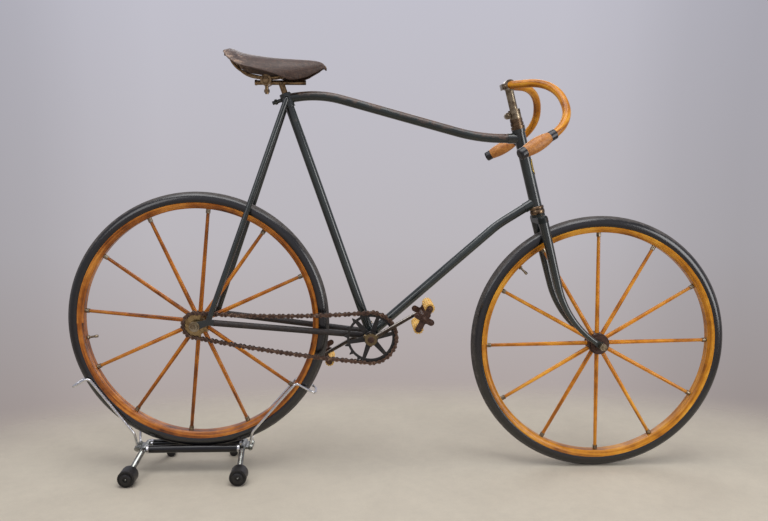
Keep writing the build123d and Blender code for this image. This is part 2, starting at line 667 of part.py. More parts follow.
with BuildPart() as fork_tips:
    for side in (-1, 1):
        with BuildSketch(blade_plane(side * BLADE_HALF)):
            with Locations((FORK_RAKE, 0)):
                Circle(FORK_TIP_RADIUS)
            with Locations((tip_x, tip_z)):
                Circle(BLADE_TIP_RADIUS)
            make_hull()
            with Locations((FORK_RAKE, 0)):
                Circle(AXLE_RADIUS, mode=Mode.SUBTRACT)
        extrude(amount=FORK_TIP_PLATE / 2, both=True)
fork_tips.part.label = "fork_tips"

with BuildPart() as fork_blades:
    for side in (-1, 1):
        with BuildLine(blade_plane(side * BLADE_HALF)) as blade_path:
            shaft = Line((0, FORK_LENGTH - CROWN_HEIGHT), (0, BLADE_BEND_START))
            JernArc(shaft @ 1, shaft % 1, blade_bend, blade_stop)
        blade_wire = blade_path.wires()[0]
        with BuildSketch(Plane(origin=blade_wire @ 0, z_dir=blade_wire % 0)) as blade_top:
            Circle(BLADE_TOP_RADIUS)
        with BuildSketch(Plane(origin=blade_wire @ 1, z_dir=blade_wire % 1)) as blade_foot:
            Circle(BLADE_TIP_RADIUS)
        sweep(sections=[blade_top.sketch.face(), blade_foot.sketch.face()], path=blade_wire, multisection=True)
    add(fork_tips.part, mode=Mode.SUBTRACT)
fork_blades.part.label = "fork_blades"

# Steering: upper race and lock rings round the steerer
with BuildPart() as headset:
    ring_start = HEAD_TOP + REST_GAP
    for ring_share, ring_radius in HEADSET_RINGS:
        ring_height = ring_share * (UPPER_RACE - REST_GAP)
        with BuildSketch(steering_frame.offset(ring_start)):
            Circle(ring_radius)
            Circle(STEERER_RADIUS, mode=Mode.SUBTRACT)
        extrude(amount=ring_height)
        ring_start += ring_height
headset.part.label = "headset"

# Steering: handlebar bent in one piece, with turned grips on its ends
bar_ends = Vector(BAR_END)
bar_corner = Vector(BAR_CORNER)
grip_share = GRIP_LENGTH / (bar_ends - bar_corner).length
grip_start = bar_ends - (bar_ends - bar_corner) * grip_share
bar_points = [bar_point(grip_start, -1), bar_point(BAR_CORNER, -1), bar_point(BAR_SHOULDER, -1)]
bar_points += [bar_point((-BAR_BACK, 0, BAR_RISE), 1)]
bar_points += [bar_point(BAR_SHOULDER, 1), bar_point(BAR_CORNER, 1), bar_point(grip_start, 1)]
half_bends = [BAR_CORNER_BEND, BAR_SHOULDER_BEND]
bar_bends = half_bends + [BAR_CENTRE_BEND] + half_bends[::-1]
with BuildPart() as handlebar:
    with BuildLine() as bar_path:
        FilletPolyline(*bar_points, radius=bar_bends)
    with BuildSketch(along(bar_points[0], bar_points[1])):
        Circle(BAR_RADIUS)
    sweep()
handlebar.part.label = "handlebar"
bar_middle = bar_path.wires()[0] @ 0.5

cork_end = GRIP_LENGTH - GRIP_CAP_LENGTH
round_start = GRIP_LENGTH - GRIP_CAP_ROUND


def grip_section(side):
    """Plane through a grip's middle line whose sketch runs along it (first) and out from it (second)."""
    base = along(bar_point(grip_start, side), bar_point(BAR_END, side))
    return Plane(origin=base.origin, x_dir=base.z_dir, z_dir=base.x_dir)


with BuildPart() as grips:
    for side in (-1, 1):
        section = grip_section(side)
        with BuildSketch(section):
            with BuildLine():
                Polyline((cork_end, GRIP_END_RADIUS), (cork_end, 0), (0, 0), (0, GRIP_START_RADIUS))
                ThreePointArc(
                    (0, GRIP_START_RADIUS), (cork_end / 2, GRIP_RADIUS), (cork_end, GRIP_END_RADIUS)
                )
            make_face()
        revolve(axis=Axis(section.origin, section.x_dir))
grips.part.label = "grips"

with BuildPart() as grip_caps:
    for side in (-1, 1):
        section = grip_section(side)
        with BuildSketch(section):
            with BuildLine():
                Polyline(
                    (GRIP_LENGTH, GRIP_END_RADIUS - GRIP_CAP_ROUND), (GRIP_LENGTH, 0), (cork_end, 0),
                    (cork_end, GRIP_END_RADIUS), (round_start, GRIP_END_RADIUS),
                )
                RadiusArc(
                    (round_start, GRIP_END_RADIUS), (GRIP_LENGTH, GRIP_END_RADIUS - GRIP_CAP_ROUND),
                    GRIP_CAP_ROUND,
                )
            make_face()
        revolve(axis=Axis(section.origin, section.x_dir))
grip_caps.part.label = "grip_caps"

with BuildPart() as bar_ferrules:
    for side in (-1, 1):
        with BuildSketch(along(bar_point(grip_start, side), bar_point(BAR_CORNER, side))):
            Circle(BAR_RADIUS + BAR_FERRULE_WALL)
        extrude(amount=BAR_FERRULE_LENGTH)
    add(handlebar.part, mode=Mode.SUBTRACT)
bar_ferrules.part.label = "bar_ferrules"

# Steering: stem with its bar clamp, and the split collar with an eye bolt behind
with BuildPart() as stem:
    with BuildSketch(steering_frame.offset(COLLAR_BOTTOM)):
        Circle(STEM_RADIUS)
    extrude(amount=BAR_CENTRE - COLLAR_BOTTOM)
    with BuildSketch(Plane(origin=bar_middle, x_dir=head_forward, z_dir=(0, -1, 0))):
        Circle(BAR_RADIUS + STEM_CLAMP_WALL)
        with Locations((-BAR_RADIUS - STEM_CLAMP_WALL, 0)):
            Rectangle(STEM_CLAMP_WIDTH / 2, STEM_CLAMP_WIDTH / 2)
    extrude(amount=STEM_CLAMP_WIDTH / 2, both=True)
    add(handlebar.part, mode=Mode.SUBTRACT)
stem.part.label = "stem"

with BuildPart() as stem_collar:
    with BuildSketch(steering_frame.offset(COLLAR_BOTTOM)):
        Circle(COLLAR_RADIUS)
    extrude(amount=COLLAR_LENGTH)
    collar_middle = steering_point(0, 0, COLLAR_BOTTOM + COLLAR_LENGTH / 2)
    with BuildSketch(Plane(origin=collar_middle, x_dir=head_forward, z_dir=(0, -1, 0))):
        with Locations((0, 0), (-COLLAR_EYE_BACK, 0)):
            Circle(COLLAR_EYE_RADIUS)
        make_hull()
    extrude(amount=COLLAR_EYE_WIDTH / 2, both=True)
    with BuildSketch(steering_frame.offset(COLLAR_BOTTOM)):
        Circle(STEM_RADIUS)
    extrude(amount=COLLAR_LENGTH, mode=Mode.SUBTRACT)
stem_collar.part.label = "stem_collar"

# Drive: the chain's line round ring and sprocket
ring_radius = CHAIN_PITCH / (2 * sin(pi / RING_TEETH))
sprocket_radius = CHAIN_PITCH / (2 * sin(pi / SPROCKET_TEETH))
drive_span = hypot(BRACKET_X - REAR_X, BRACKET_Z - REAR_Z)
drive_slope = atan2(BRACKET_Z - REAR_Z, BRACKET_X - REAR_X)
drive_lean = asin((ring_radius - sprocket_radius) / drive_span)
top_normal = drive_slope + pi / 2 + drive_lean
low_normal = drive_slope - pi / 2 - drive_lean
run_length = drive_span * cos(drive_lean)
ring_wrap = top_normal - low_normal
sprocket_wrap = 2 * pi - ring_wrap
chain_length = 2 * run_length + ring_wrap * ring_radius + sprocket_wrap * sprocket_radius
chain_links = round(chain_length / CHAIN_PITCH)
link_step = chain_length / chain_links


def run_place(normal, backward, distance, sag):
    """Point on a straight run with its sag, and the way the chain runs there."""
    share = distance / run_length
    reach = run_length - distance if backward else distance
    heading = normal - pi / 2
    x = REAR_X + sprocket_radius * cos(normal) + reach * cos(heading) * (-1 if backward else 1)
    z = REAR_Z + sprocket_radius * sin(normal) + reach * sin(heading) * (-1 if backward else 1)
    slope = 4 * sag * (2 * share - 1) / run_length
    return x, z - 4 * sag * share * (1 - share), heading + slope


def chain_place(distance):
    """Point on the chain, from where it leaves the sprocket's top, and its heading."""
    if distance < run_length:
        return run_place(top_normal, False, distance, TOP_RUN_SAG)
    distance -= run_length
    if distance < ring_wrap * ring_radius:
        angle = top_normal - distance / ring_radius
        return BRACKET_X + ring_radius * cos(angle), BRACKET_Z + ring_radius * sin(angle), angle - pi / 2
    distance -= ring_wrap * ring_radius
    if distance < run_length:
        return run_place(low_normal, True, distance, LOW_RUN_SAG)
    angle = low_normal - (distance - run_length) / sprocket_radius
    return REAR_X + sprocket_radius * cos(angle), REAR_Z + sprocket_radius * sin(angle), angle - pi / 2


def chain_plane(distance, y):
    """Plane on the chain that looks to the right, turned along the chain."""
    x, z, heading = chain_place(distance)
    return Plane(origin=(x, y, z), x_dir=(cos(heading), 0, sin(heading)), z_dir=(0, -1, 0))


def meets_teeth(distance):
    """Whether a chain block lies where the teeth of ring or sprocket pass."""
    x, z, heading = chain_place(distance)
    reach = TOOTH_RISE + hypot(CHAIN_BLOCK_LENGTH, CHAIN_BLOCK_HEIGHT) / 2 + CHAIN_TOOTH_GAP
    near_ring = hypot(x - BRACKET_X, z - BRACKET_Z) < ring_radius + reach
    return near_ring or hypot(x - REAR_X, z - REAR_Z) < sprocket_radius + reach


block_places = [index * link_step for index in range(chain_links)]
free_blocks = [chain_plane(place, -CHAIN_LINE) for place in block_places if not meets_teeth(place)]
groove_half = TOOTH_WIDTH / 2 + CHAIN_TOOTH_GAP
cheek = CHAIN_BLOCK_WIDTH / 2 - groove_half
cheek_blocks = []
side_plates = []
for side in (-1, 1):
    cheek_y = -CHAIN_LINE + side * (groove_half + cheek / 2)
    cheek_blocks += [chain_plane(place, cheek_y) for place in block_places if meets_teeth(place)]
    plate_y = -CHAIN_LINE + side * (CHAIN_BLOCK_WIDTH + CHAIN_PLATE_WIDTH) / 2
    side_plates += [chain_plane(place + link_step / 2, plate_y) for place in block_places]

with BuildPart() as side_plate:
    with BuildSketch():
        Rectangle(link_step - CHAIN_PLATE_GAP, CHAIN_PLATE_HEIGHT)
        chamfer(vertices(), CHAIN_PLATE_CORNER)
    extrude(amount=CHAIN_PLATE_WIDTH / 2, both=True)

with BuildPart() as chain:
    with Locations(*side_plates):
        add(side_plate.part)
    with Locations(*free_blocks):
        Box(CHAIN_BLOCK_LENGTH, CHAIN_BLOCK_HEIGHT, CHAIN_BLOCK_WIDTH)
    with Locations(*cheek_blocks):
        Box(CHAIN_BLOCK_LENGTH, CHAIN_BLOCK_HEIGHT, cheek)
chain.part.label = "chain"

# Drive: chainring with its arms and sprocket, their teeth set between the chain's blocks
ring_first = ceil(run_length / link_step) + 0.5
ring_phase = degrees(top_normal - (ring_first * link_step - run_length) / ring_radius)
sprocket_start = 2 * run_length + ring_wrap * ring_radius
sprocket_first = ceil(sprocket_start / link_step) + 0.5
sprocket_phase = degrees(low_normal - (sprocket_first * link_step - sprocket_start) / sprocket_radius)


def tooth_outline(pitch_radius):
    """Corners of one pointed tooth on a pitch circle, its point along the first axis."""
    root = pitch_radius - TOOTH_ROOT
    half = TOOTH_BASE / 2
    top = pitch_radius + TOOTH_RISE
    rising = ((root - TOOTH_ROOT, -half), (root, -half), (top, -TOOTH_POINT))
    return rising + ((top, TOOTH_POINT), (root, half), (root - TOOTH_ROOT, half))


ring_root = ring_radius - TOOTH_ROOT
arm_reach = ring_root - RING_RIM / 2
ring_arm = ((0, -RING_ARM_ROOT / 2), (arm_reach, -RING_ARM_TIP / 2))
ring_arm += ((arm_reach, RING_ARM_TIP / 2), (0, RING_ARM_ROOT / 2))


def wheel_side(x, z):
    """Plane of a toothed wheel, seen from the right, in the middle of the chain."""
    return Plane(origin=(x, -CHAIN_LINE, z), x_dir=(1, 0, 0), z_dir=(0, -1, 0))


with BuildPart() as chainring:
    with BuildSketch(wheel_side(BRACKET_X, BRACKET_Z)):
        Circle(ring_root)
        Circle(ring_root - RING_RIM, mode=Mode.SUBTRACT)
        with PolarLocations(0, RING_TEETH, start_angle=ring_phase):
            Polygon(*tooth_outline(ring_radius), align=None)
        with PolarLocations(0, RING_ARMS, start_angle=RING_ARM_ANGLE):
            Polygon(*ring_arm, align=None)
        Circle(RING_BOSS)
        Circle(BRACKET_AXLE_RADIUS, mode=Mode.SUBTRACT)
    extrude(amount=TOOTH_WIDTH / 2, both=True)
    with BuildSketch(side_plane(-CHAIN_LINE)):
        with Locations((BRACKET_X, BRACKET_Z)):
            Circle(RING_BOSS)
            Circle(BRACKET_AXLE_RADIUS, mode=Mode.SUBTRACT)
    extrude(amount=CRANK_INSIDE - CHAIN_LINE)
chainring.part.label = "chainring"

with BuildPart() as rear_sprocket:
    with BuildSketch(wheel_side(REAR_X, REAR_Z)):
        Circle(sprocket_radius - TOOTH_ROOT)
        with PolarLocations(0, SPROCKET_TEETH, start_angle=sprocket_phase):
            Polygon(*tooth_outline(sprocket_radius), align=None)
        Circle(CONE_RADIUS, mode=Mode.SUBTRACT)
    extrude(amount=TOOTH_WIDTH / 2, both=True)
rear_sprocket.part.label = "rear_sprocket"

# Drive: bracket axle and cranks, each crank with its pedal spindle
CRANK_OUTSIDE = CRANK_INSIDE + CRANK_THICKNESS
with BuildPart() as bracket_axle:
    with BuildSketch(side_plane(0)):
        with Locations((BRACKET_X, BRACKET_Z)):
            Circle(BRACKET_AXLE_RADIUS)
    extrude(amount=CRANK_OUTSIDE, both=True)
bracket_axle.part.label = "bracket_axle"

crank_pieces = []
pedal_pieces = []
# Hands: name, side, turn of the crank, turn of the pedal
HANDS = (
    ("right", -1, CRANK_ANGLE, RIGHT_PEDAL_ANGLE),
    ("left", 1, CRANK_ANGLE + 180, LEFT_PEDAL_ANGLE),
)
for hand, side, crank_turn, pedal_turn in HANDS:
    eye_x = BRACKET_X + CRANK_LENGTH * cos(radians(crank_turn))
    eye_z = BRACKET_Z + CRANK_LENGTH * sin(radians(crank_turn))
    pedal_inner = CRANK_OUTSIDE + PEDAL_START
    pedal_outer = pedal_inner + PEDAL_WIDTH
    with BuildPart() as crank:
        with BuildSketch(side_plane(side * (CRANK_INSIDE + CRANK_THICKNESS / 2))):
            with Locations((BRACKET_X, BRACKET_Z)):
                Circle(CRANK_BOSS)
            with Locations((eye_x, eye_z)):
                Circle(CRANK_EYE)
        extrude(amount=CRANK_THICKNESS / 2, both=True)
        crank_middle = side * (CRANK_INSIDE + CRANK_THICKNESS / 2)
        with Locations(along((BRACKET_X, crank_middle, BRACKET_Z), (eye_x, crank_middle, eye_z))):
            Cone(CRANK_THICKNESS / 2, CRANK_TIP_RADIUS, CRANK_LENGTH, align=FROM_BASE)
        with BuildSketch(side_plane(crank_middle)):
            with Locations((BRACKET_X, BRACKET_Z)):
                Circle(BRACKET_AXLE_RADIUS)
        extrude(amount=CRANK_THICKNESS / 2, both=True, mode=Mode.SUBTRACT)
        with BuildSketch(side_plane(side * CRANK_OUTSIDE)):
            with Locations((eye_x, eye_z)):
                Circle(SPINDLE_RADIUS)
        extrude(amount=-side * (PEDAL_START + PEDAL_WIDTH - PEDAL_PLATE))
    crank.part.label = f"{hand}_crank"
    crank_pieces.append(crank)

    block_x = PEDAL_BLOCK_OFFSET * cos(radians(pedal_turn))
    block_z = PEDAL_BLOCK_OFFSET * sin(radians(pedal_turn))
    short_x = -PEDAL_SHORT_ARM * sin(radians(pedal_turn))
    short_z = PEDAL_SHORT_ARM * cos(radians(pedal_turn))
    with BuildPart() as pedal_frame:
        for plate_start in (pedal_inner, pedal_outer - PEDAL_PLATE):
            with BuildSketch(side_plane(side * plate_start)):
                for arm_x, arm_z in ((block_x, block_z), (short_x, short_z)):
                    with BuildSketch(mode=Mode.PRIVATE) as arm:
                        with Locations((eye_x + arm_x, eye_z + arm_z), (eye_x - arm_x, eye_z - arm_z)):
                            Circle(PEDAL_ARM_RADIUS)
                        make_hull()
                    add(arm.sketch)
                with Locations((eye_x, eye_z)):
                    Circle(PEDAL_HUB_RADIUS)
            extrude(amount=-side * PEDAL_PLATE)
        with BuildSketch(side_plane(side * pedal_inner)):
            with Locations((eye_x, eye_z)):
                Circle(PEDAL_BARREL_RADIUS)
        extrude(amount=-side * PEDAL_WIDTH)
        with BuildSketch(side_plane(side * pedal_inner)):
            with Locations((eye_x, eye_z)):
                Circle(SPINDLE_RADIUS + RUN_GAP)
        extrude(amount=-side * (PEDAL_WIDTH - PEDAL_PLATE + RUN_GAP), mode=Mode.SUBTRACT)
    pedal_frame.part.label = f"{hand}_pedal_frame"

    with BuildPart() as pedal_blocks:
        with BuildSketch(side_plane(side * (pedal_inner + PEDAL_PLATE))):
            with Locations((eye_x + block_x, eye_z + block_z), (eye_x - block_x, eye_z - block_z)):
                Circle(PEDAL_BLOCK_RADIUS)
                with PolarLocations(PEDAL_BLOCK_RADIUS, PEDAL_BLOCK_FLUTES):
                    Circle(PEDAL_FLUTE_RADIUS, mode=Mode.SUBTRACT)
        extrude(amount=-side * (PEDAL_WIDTH - 2 * PEDAL_PLATE))
    pedal_blocks.part.label = f"{hand}_pedal_blocks"
    pedal_pieces += [pedal_frame, pedal_blocks]

# Seat post with its level T-bar
post_top = seat_frame.from_local_coords(Vector(0, 0, SEAT_TUBE_LENGTH + CLUSTER_LENGTH + POST_RISE))
with BuildPart() as seat_post:
    with BuildSketch(seat_frame.offset(SEAT_TUBE_LENGTH + CLUSTER_LENGTH / 2)):
        Circle(POST_RADIUS)
    extrude(amount=CLUSTER_LENGTH / 2 + POST_RISE)
    with BuildSketch(Plane.YZ.offset(post_top.X - T_BAR_BACK)):
        with Locations((0, post_top.Z)):
            Circle(T_BAR_RADIUS)
    extrude(amount=T_BAR_BACK + T_BAR_FORWARD)
    fillet(seat_post.edges().filter_by(GeomType.CIRCLE).sort_by(Axis.X)[0], T_BAR_RADIUS / 3)
seat_post.part.label = "seat_post"


def saddle_height(section, y):
    """Height of the saddle's outside above the T-bar at a section's table row."""
    back, half, crown, skirt = section
    arch = (half**2 + skirt**2) / (2 * skirt)
    return crown - arch + sqrt(arch**2 - y**2)


# Saddle: the leather top, an arched sheet from the wide cantle to the narrow nose
with BuildPart() as saddle_leather:
    for back, half, crown, skirt in SADDLE_SECTIONS:
        with BuildSketch(Plane.YZ.offset(post_top.X - back)):
            with BuildLine():
                base = post_top.Z + crown - skirt
                ThreePointArc((-half, base), (0, base + skirt), (half, base))
                Line((half, base), (half - LEATHER, base))
                ThreePointArc((half - LEATHER, base), (0, base + skirt - LEATHER), (LEATHER - half, base))
                Line((LEATHER - half, base), (-half, base))
            make_face()
    loft()
saddle_leather.part.label = "saddle_leather"

# Saddle: two wires from the cantle through the clamp to the nose
cantle = SADDLE_SECTIONS[1]
nose = SADDLE_SECTIONS[-2]
with BuildPart() as saddle_wires:
    for side in (-1, 1):
        cantle_half = cantle[1] * CANTLE_WIRE_SHARE
        nose_half = nose[1] * NOSE_WIRE_SHARE
        wire_points = [
            Vector(-cantle[0], side * cantle_half, saddle_height(cantle, cantle_half) - SADDLE_WIRE_SEAT),
            Vector(-SADDLE_CLAMP_BACK - SADDLE_CLAMP_RADIUS, side * SADDLE_WIRE_HALF, SADDLE_WIRE_RISE),
            Vector(-SADDLE_CLAMP_BACK + 2 * SADDLE_CLAMP_RADIUS, side * SADDLE_WIRE_HALF, SADDLE_WIRE_RISE),
            Vector(-nose[0], side * nose_half, saddle_height(nose, nose_half) - SADDLE_WIRE_SEAT),
        ]
        wire_points = [point + post_top for point in wire_points]
        with BuildLine() as wire_path:
            FilletPolyline(*wire_points, radius=[SADDLE_WIRE_BEND, SADDLE_WIRE_BEND])
        with BuildSketch(along(wire_points[0], wire_points[1])):
            Circle(SADDLE_WIRE_RADIUS)
        sweep(path=wire_path.wires()[0])
    add(saddle_leather.part, mode=Mode.SUBTRACT)
saddle_wires.part.label = "saddle_wires"

clamp_x = post_top.X - SADDLE_CLAMP_BACK
with BuildPart() as saddle_clamp:
    with BuildSketch(side_plane(0)):
        with Locations((clamp_x, post_top.Z + SADDLE_CLAMP_RISE)):
            Circle(SADDLE_CLAMP_RADIUS)
    extrude(amount=SADDLE_CLAMP_WIDTH / 2, both=True)
    with BuildSketch(Plane.XY.offset(post_top.Z - SADDLE_BOLT_DROP)):
        with Locations((clamp_x, 0)):
            Circle(SADDLE_BOLT_RADIUS)
    extrude(amount=SADDLE_BOLT_DROP)
    with BuildSketch(Plane.XY.offset(post_top.Z - SADDLE_BOLT_DROP + SADDLE_NUT / 2)):
        with Locations((clamp_x, 0)):
            RegularPolygon(SADDLE_NUT_RADIUS, 6)
    extrude(amount=SADDLE_NUT)
    add(seat_post.part, mode=Mode.SUBTRACT)
    add(saddle_wires.part, mode=Mode.SUBTRACT)
saddle_clamp.part.label = "saddle_clamp"

# Display stand: two bars under the rear tyre, bent legs with rubber feet, and a wire loop at each end
bar_drop = REAR_LIFT + TYRE_RADIUS - STAND_BAR_HEIGHT
stand_bar_half = sqrt((TYRE_RADIUS + STAND_BAR_RADIUS + REST_GAP) ** 2 - bar_drop**2)
stand_back = REAR_X - STAND_LEGS[0][2] + STAND_LEG_RADIUS
stand_forward = REAR_X + STAND_LEGS[1][2] - STAND_LEG_RADIUS
stand_pieces = []
stand_legs = []
wire_bends = [multiple * STAND_WIRE_RADIUS for multiple in STAND_WIRE_BENDS]
wire_bends += wire_bends[::-1]
for end, way, reach, outward, inward in STAND_LEGS:
    leg_x = REAR_X + way * reach
    tail_x = leg_x + way * STAND_TAIL_OUT
    corners = [
        (tail_x, STAND_TAIL_HALF, STAND_BAR_HEIGHT - STAND_TAIL_REACH),
        (tail_x, STAND_TAIL_HALF, STAND_BAR_HEIGHT + STAND_TAIL_REACH),
    ]
    for out, down in STAND_LOOPS[end]:
        mark_x = REAR_X + way * out * WHEEL_RADIUS
        corners.append((mark_x, STAND_WIRE_HALF, REAR_Z - down * WHEEL_RADIUS))
    loop_points = [Vector(x, -half, z) for x, half, z in corners]
    loop_points += [Vector(x, half, z) for x, half, z in reversed(corners)]
    with BuildPart() as loop:
        with BuildLine() as loop_path:
            FilletPolyline(*loop_points, radius=wire_bends)
        with BuildSketch(along(loop_points[0], loop_points[1])):
            Circle(STAND_WIRE_RADIUS)
        sweep()
    loop.part.label = f"stand_{end}_loop"

    leg_points = [
        Vector(leg_x + way * outward, -RIGHT_FOOT_HALF, RIGHT_FOOT_RADIUS),
        Vector(leg_x, -STAND_SHOULDER, STAND_BAR_HEIGHT),
        Vector(leg_x, STAND_SHOULDER, STAND_BAR_HEIGHT),
        Vector(leg_x - way * inward, LEFT_FOOT_HALF, LEFT_FOOT_RADIUS),
    ]
    with BuildPart() as leg:
        with BuildLine() as leg_path:
            FilletPolyline(*leg_points, radius=STAND_LEG_BEND)
        with BuildSketch(along(leg_points[0], leg_points[1])):
            Circle(STAND_LEG_RADIUS)
        sweep()
        with Locations((leg_x + way * STAND_PLATE_REACH / 2, 0, STAND_BAR_HEIGHT)):
            Box(STAND_PLATE_REACH, STAND_PLATE_WIDTH, STAND_PLATE)
        add(loop.part, mode=Mode.SUBTRACT)
    leg.part.label = f"stand_{end}_leg"
    stand_legs.append(leg)

    feet_sizes = (
        (leg_points[0], RIGHT_FOOT_RADIUS, RIGHT_FOOT_LENGTH),
        (leg_points[-1], LEFT_FOOT_RADIUS, LEFT_FOOT_LENGTH),
    )
    with BuildPart() as feet:
        for foot_point, foot_radius, foot_length in feet_sizes:
            with BuildSketch(side_plane(foot_point.Y)):
                with Locations((foot_point.X, foot_point.Z)):
                    Circle(foot_radius)
            extrude(amount=foot_length / 2, both=True)
        add(leg.part, mode=Mode.SUBTRACT)
    feet.part.label = f"stand_{end}_feet"
    stand_pieces += [leg, feet, loop]

with BuildPart() as stand_bars:
    with BuildSketch(Plane.YZ.offset(stand_back)):
        with Locations((-stand_bar_half, STAND_BAR_HEIGHT), (stand_bar_half, STAND_BAR_HEIGHT)):
            Circle(STAND_BAR_RADIUS)
    extrude(amount=stand_forward - stand_back)
    for leg in stand_legs:
        add(leg.part, mode=Mode.SUBTRACT)
stand_bars.part.label = "stand_bars"

frame_pieces = [
    bottom_bracket_shell, seat_cluster, seat_tube, top_tube, down_tube, head_tube, rear_fork_ends,
    seat_stays, chain_stays, rear_axle, chain, seat_post, saddle_leather, saddle_wires, saddle_clamp,
    stand_bars,
]
steering_pieces = [
    fork_crown, fork_blades, fork_tips, front_axle, headset, stem, stem_collar, handlebar, grips,
    grip_caps, bar_ferrules,
]
drive_pieces = [chainring, rear_sprocket, bracket_axle]
os.makedirs("parts", exist_ok=True)
turning_pieces = steering_pieces + wheel_pieces + drive_pieces + crank_pieces + pedal_pieces
for piece in frame_pieces + stand_pieces + turning_pieces:
    export_step(piece.part, f"parts/{piece.part.label}.step")
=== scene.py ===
# %% [markdown]
# A safety bicycle with wooden wheels and a bent wooden handlebar, held upright by a display stand
# under its rear wheel. The imported solids are the fixed frame: they already have the right shapes and
# places, so the lesson starts by loading them.

# %% Load the frame
from math import asin, atan2, cos, hypot, pi, radians, sin

import bpy
import numpy as np
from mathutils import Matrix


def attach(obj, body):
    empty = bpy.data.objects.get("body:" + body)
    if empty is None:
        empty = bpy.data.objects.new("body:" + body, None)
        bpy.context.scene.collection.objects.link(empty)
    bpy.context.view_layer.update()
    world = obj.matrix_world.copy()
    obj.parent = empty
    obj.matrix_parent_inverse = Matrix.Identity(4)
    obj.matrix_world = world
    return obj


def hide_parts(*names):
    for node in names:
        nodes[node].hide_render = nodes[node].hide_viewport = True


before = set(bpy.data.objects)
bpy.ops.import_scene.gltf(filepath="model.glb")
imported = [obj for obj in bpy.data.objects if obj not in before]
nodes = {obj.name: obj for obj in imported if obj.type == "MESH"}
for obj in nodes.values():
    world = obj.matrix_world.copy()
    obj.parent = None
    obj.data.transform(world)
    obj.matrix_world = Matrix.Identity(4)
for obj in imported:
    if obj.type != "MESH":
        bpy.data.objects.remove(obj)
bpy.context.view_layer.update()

# %% [markdown]
# The picture is taken almost square on to the bicycle's right side, from about two metres away and a
# little below the saddle. A pinhole camera fitted to the wheels' outlines gives the place and the two
# angles below, and the lens follows from the fitted focal length.

# %% Camera
CAMERA_PLACE = (-0.1114, -2.0647, 0.8538)
CAMERA_PITCH = -0.127
CAMERA_YAW = 0.032
FOCAL_PIXELS = 758.7
PICTURE_WIDTH = 768
SENSOR_WIDTH = 36.0

scene = bpy.context.scene
camera_data = bpy.data.cameras.new("camera")
camera_data.sensor_width = SENSOR_WIDTH
camera_data.lens = FOCAL_PIXELS / PICTURE_WIDTH * SENSOR_WIDTH
camera = bpy.data.objects.new("camera", camera_data)
camera.location = CAMERA_PLACE
camera.rotation_euler = (pi / 2 + CAMERA_PITCH, 0, -CAMERA_YAW)
scene.collection.objects.link(camera)
scene.camera = camera
scene.view_settings.view_transform = "Standard"
print("lens", round(camera_data.lens, 2), "mm")

# %% [markdown]
# Every finish here is a small network of nodes. Writing each node out by hand takes many lines, so one
# class keeps the network and gives each kind of node a short name: mottle is soft cloudy noise, graded
# turns a number into a colour or another number, blend lays one colour over another. Sizes are given
# in metres, which is easier to judge on a real object than a texture scale, and colours in the numbers
# of a paint chart, 0 to 255.

# %% A class that mixes finishes
def chart(red, green, blue):
    """Colour from paint-chart numbers (0 to 255) as the linear numbers that shaders use."""
    shown = np.array([red, green, blue]) / 255
    linear = np.where(shown <= 0.04045, shown / 12.92, ((shown + 0.055) / 1.055) ** 2.4)
    return (*linear.tolist(), 1.0)


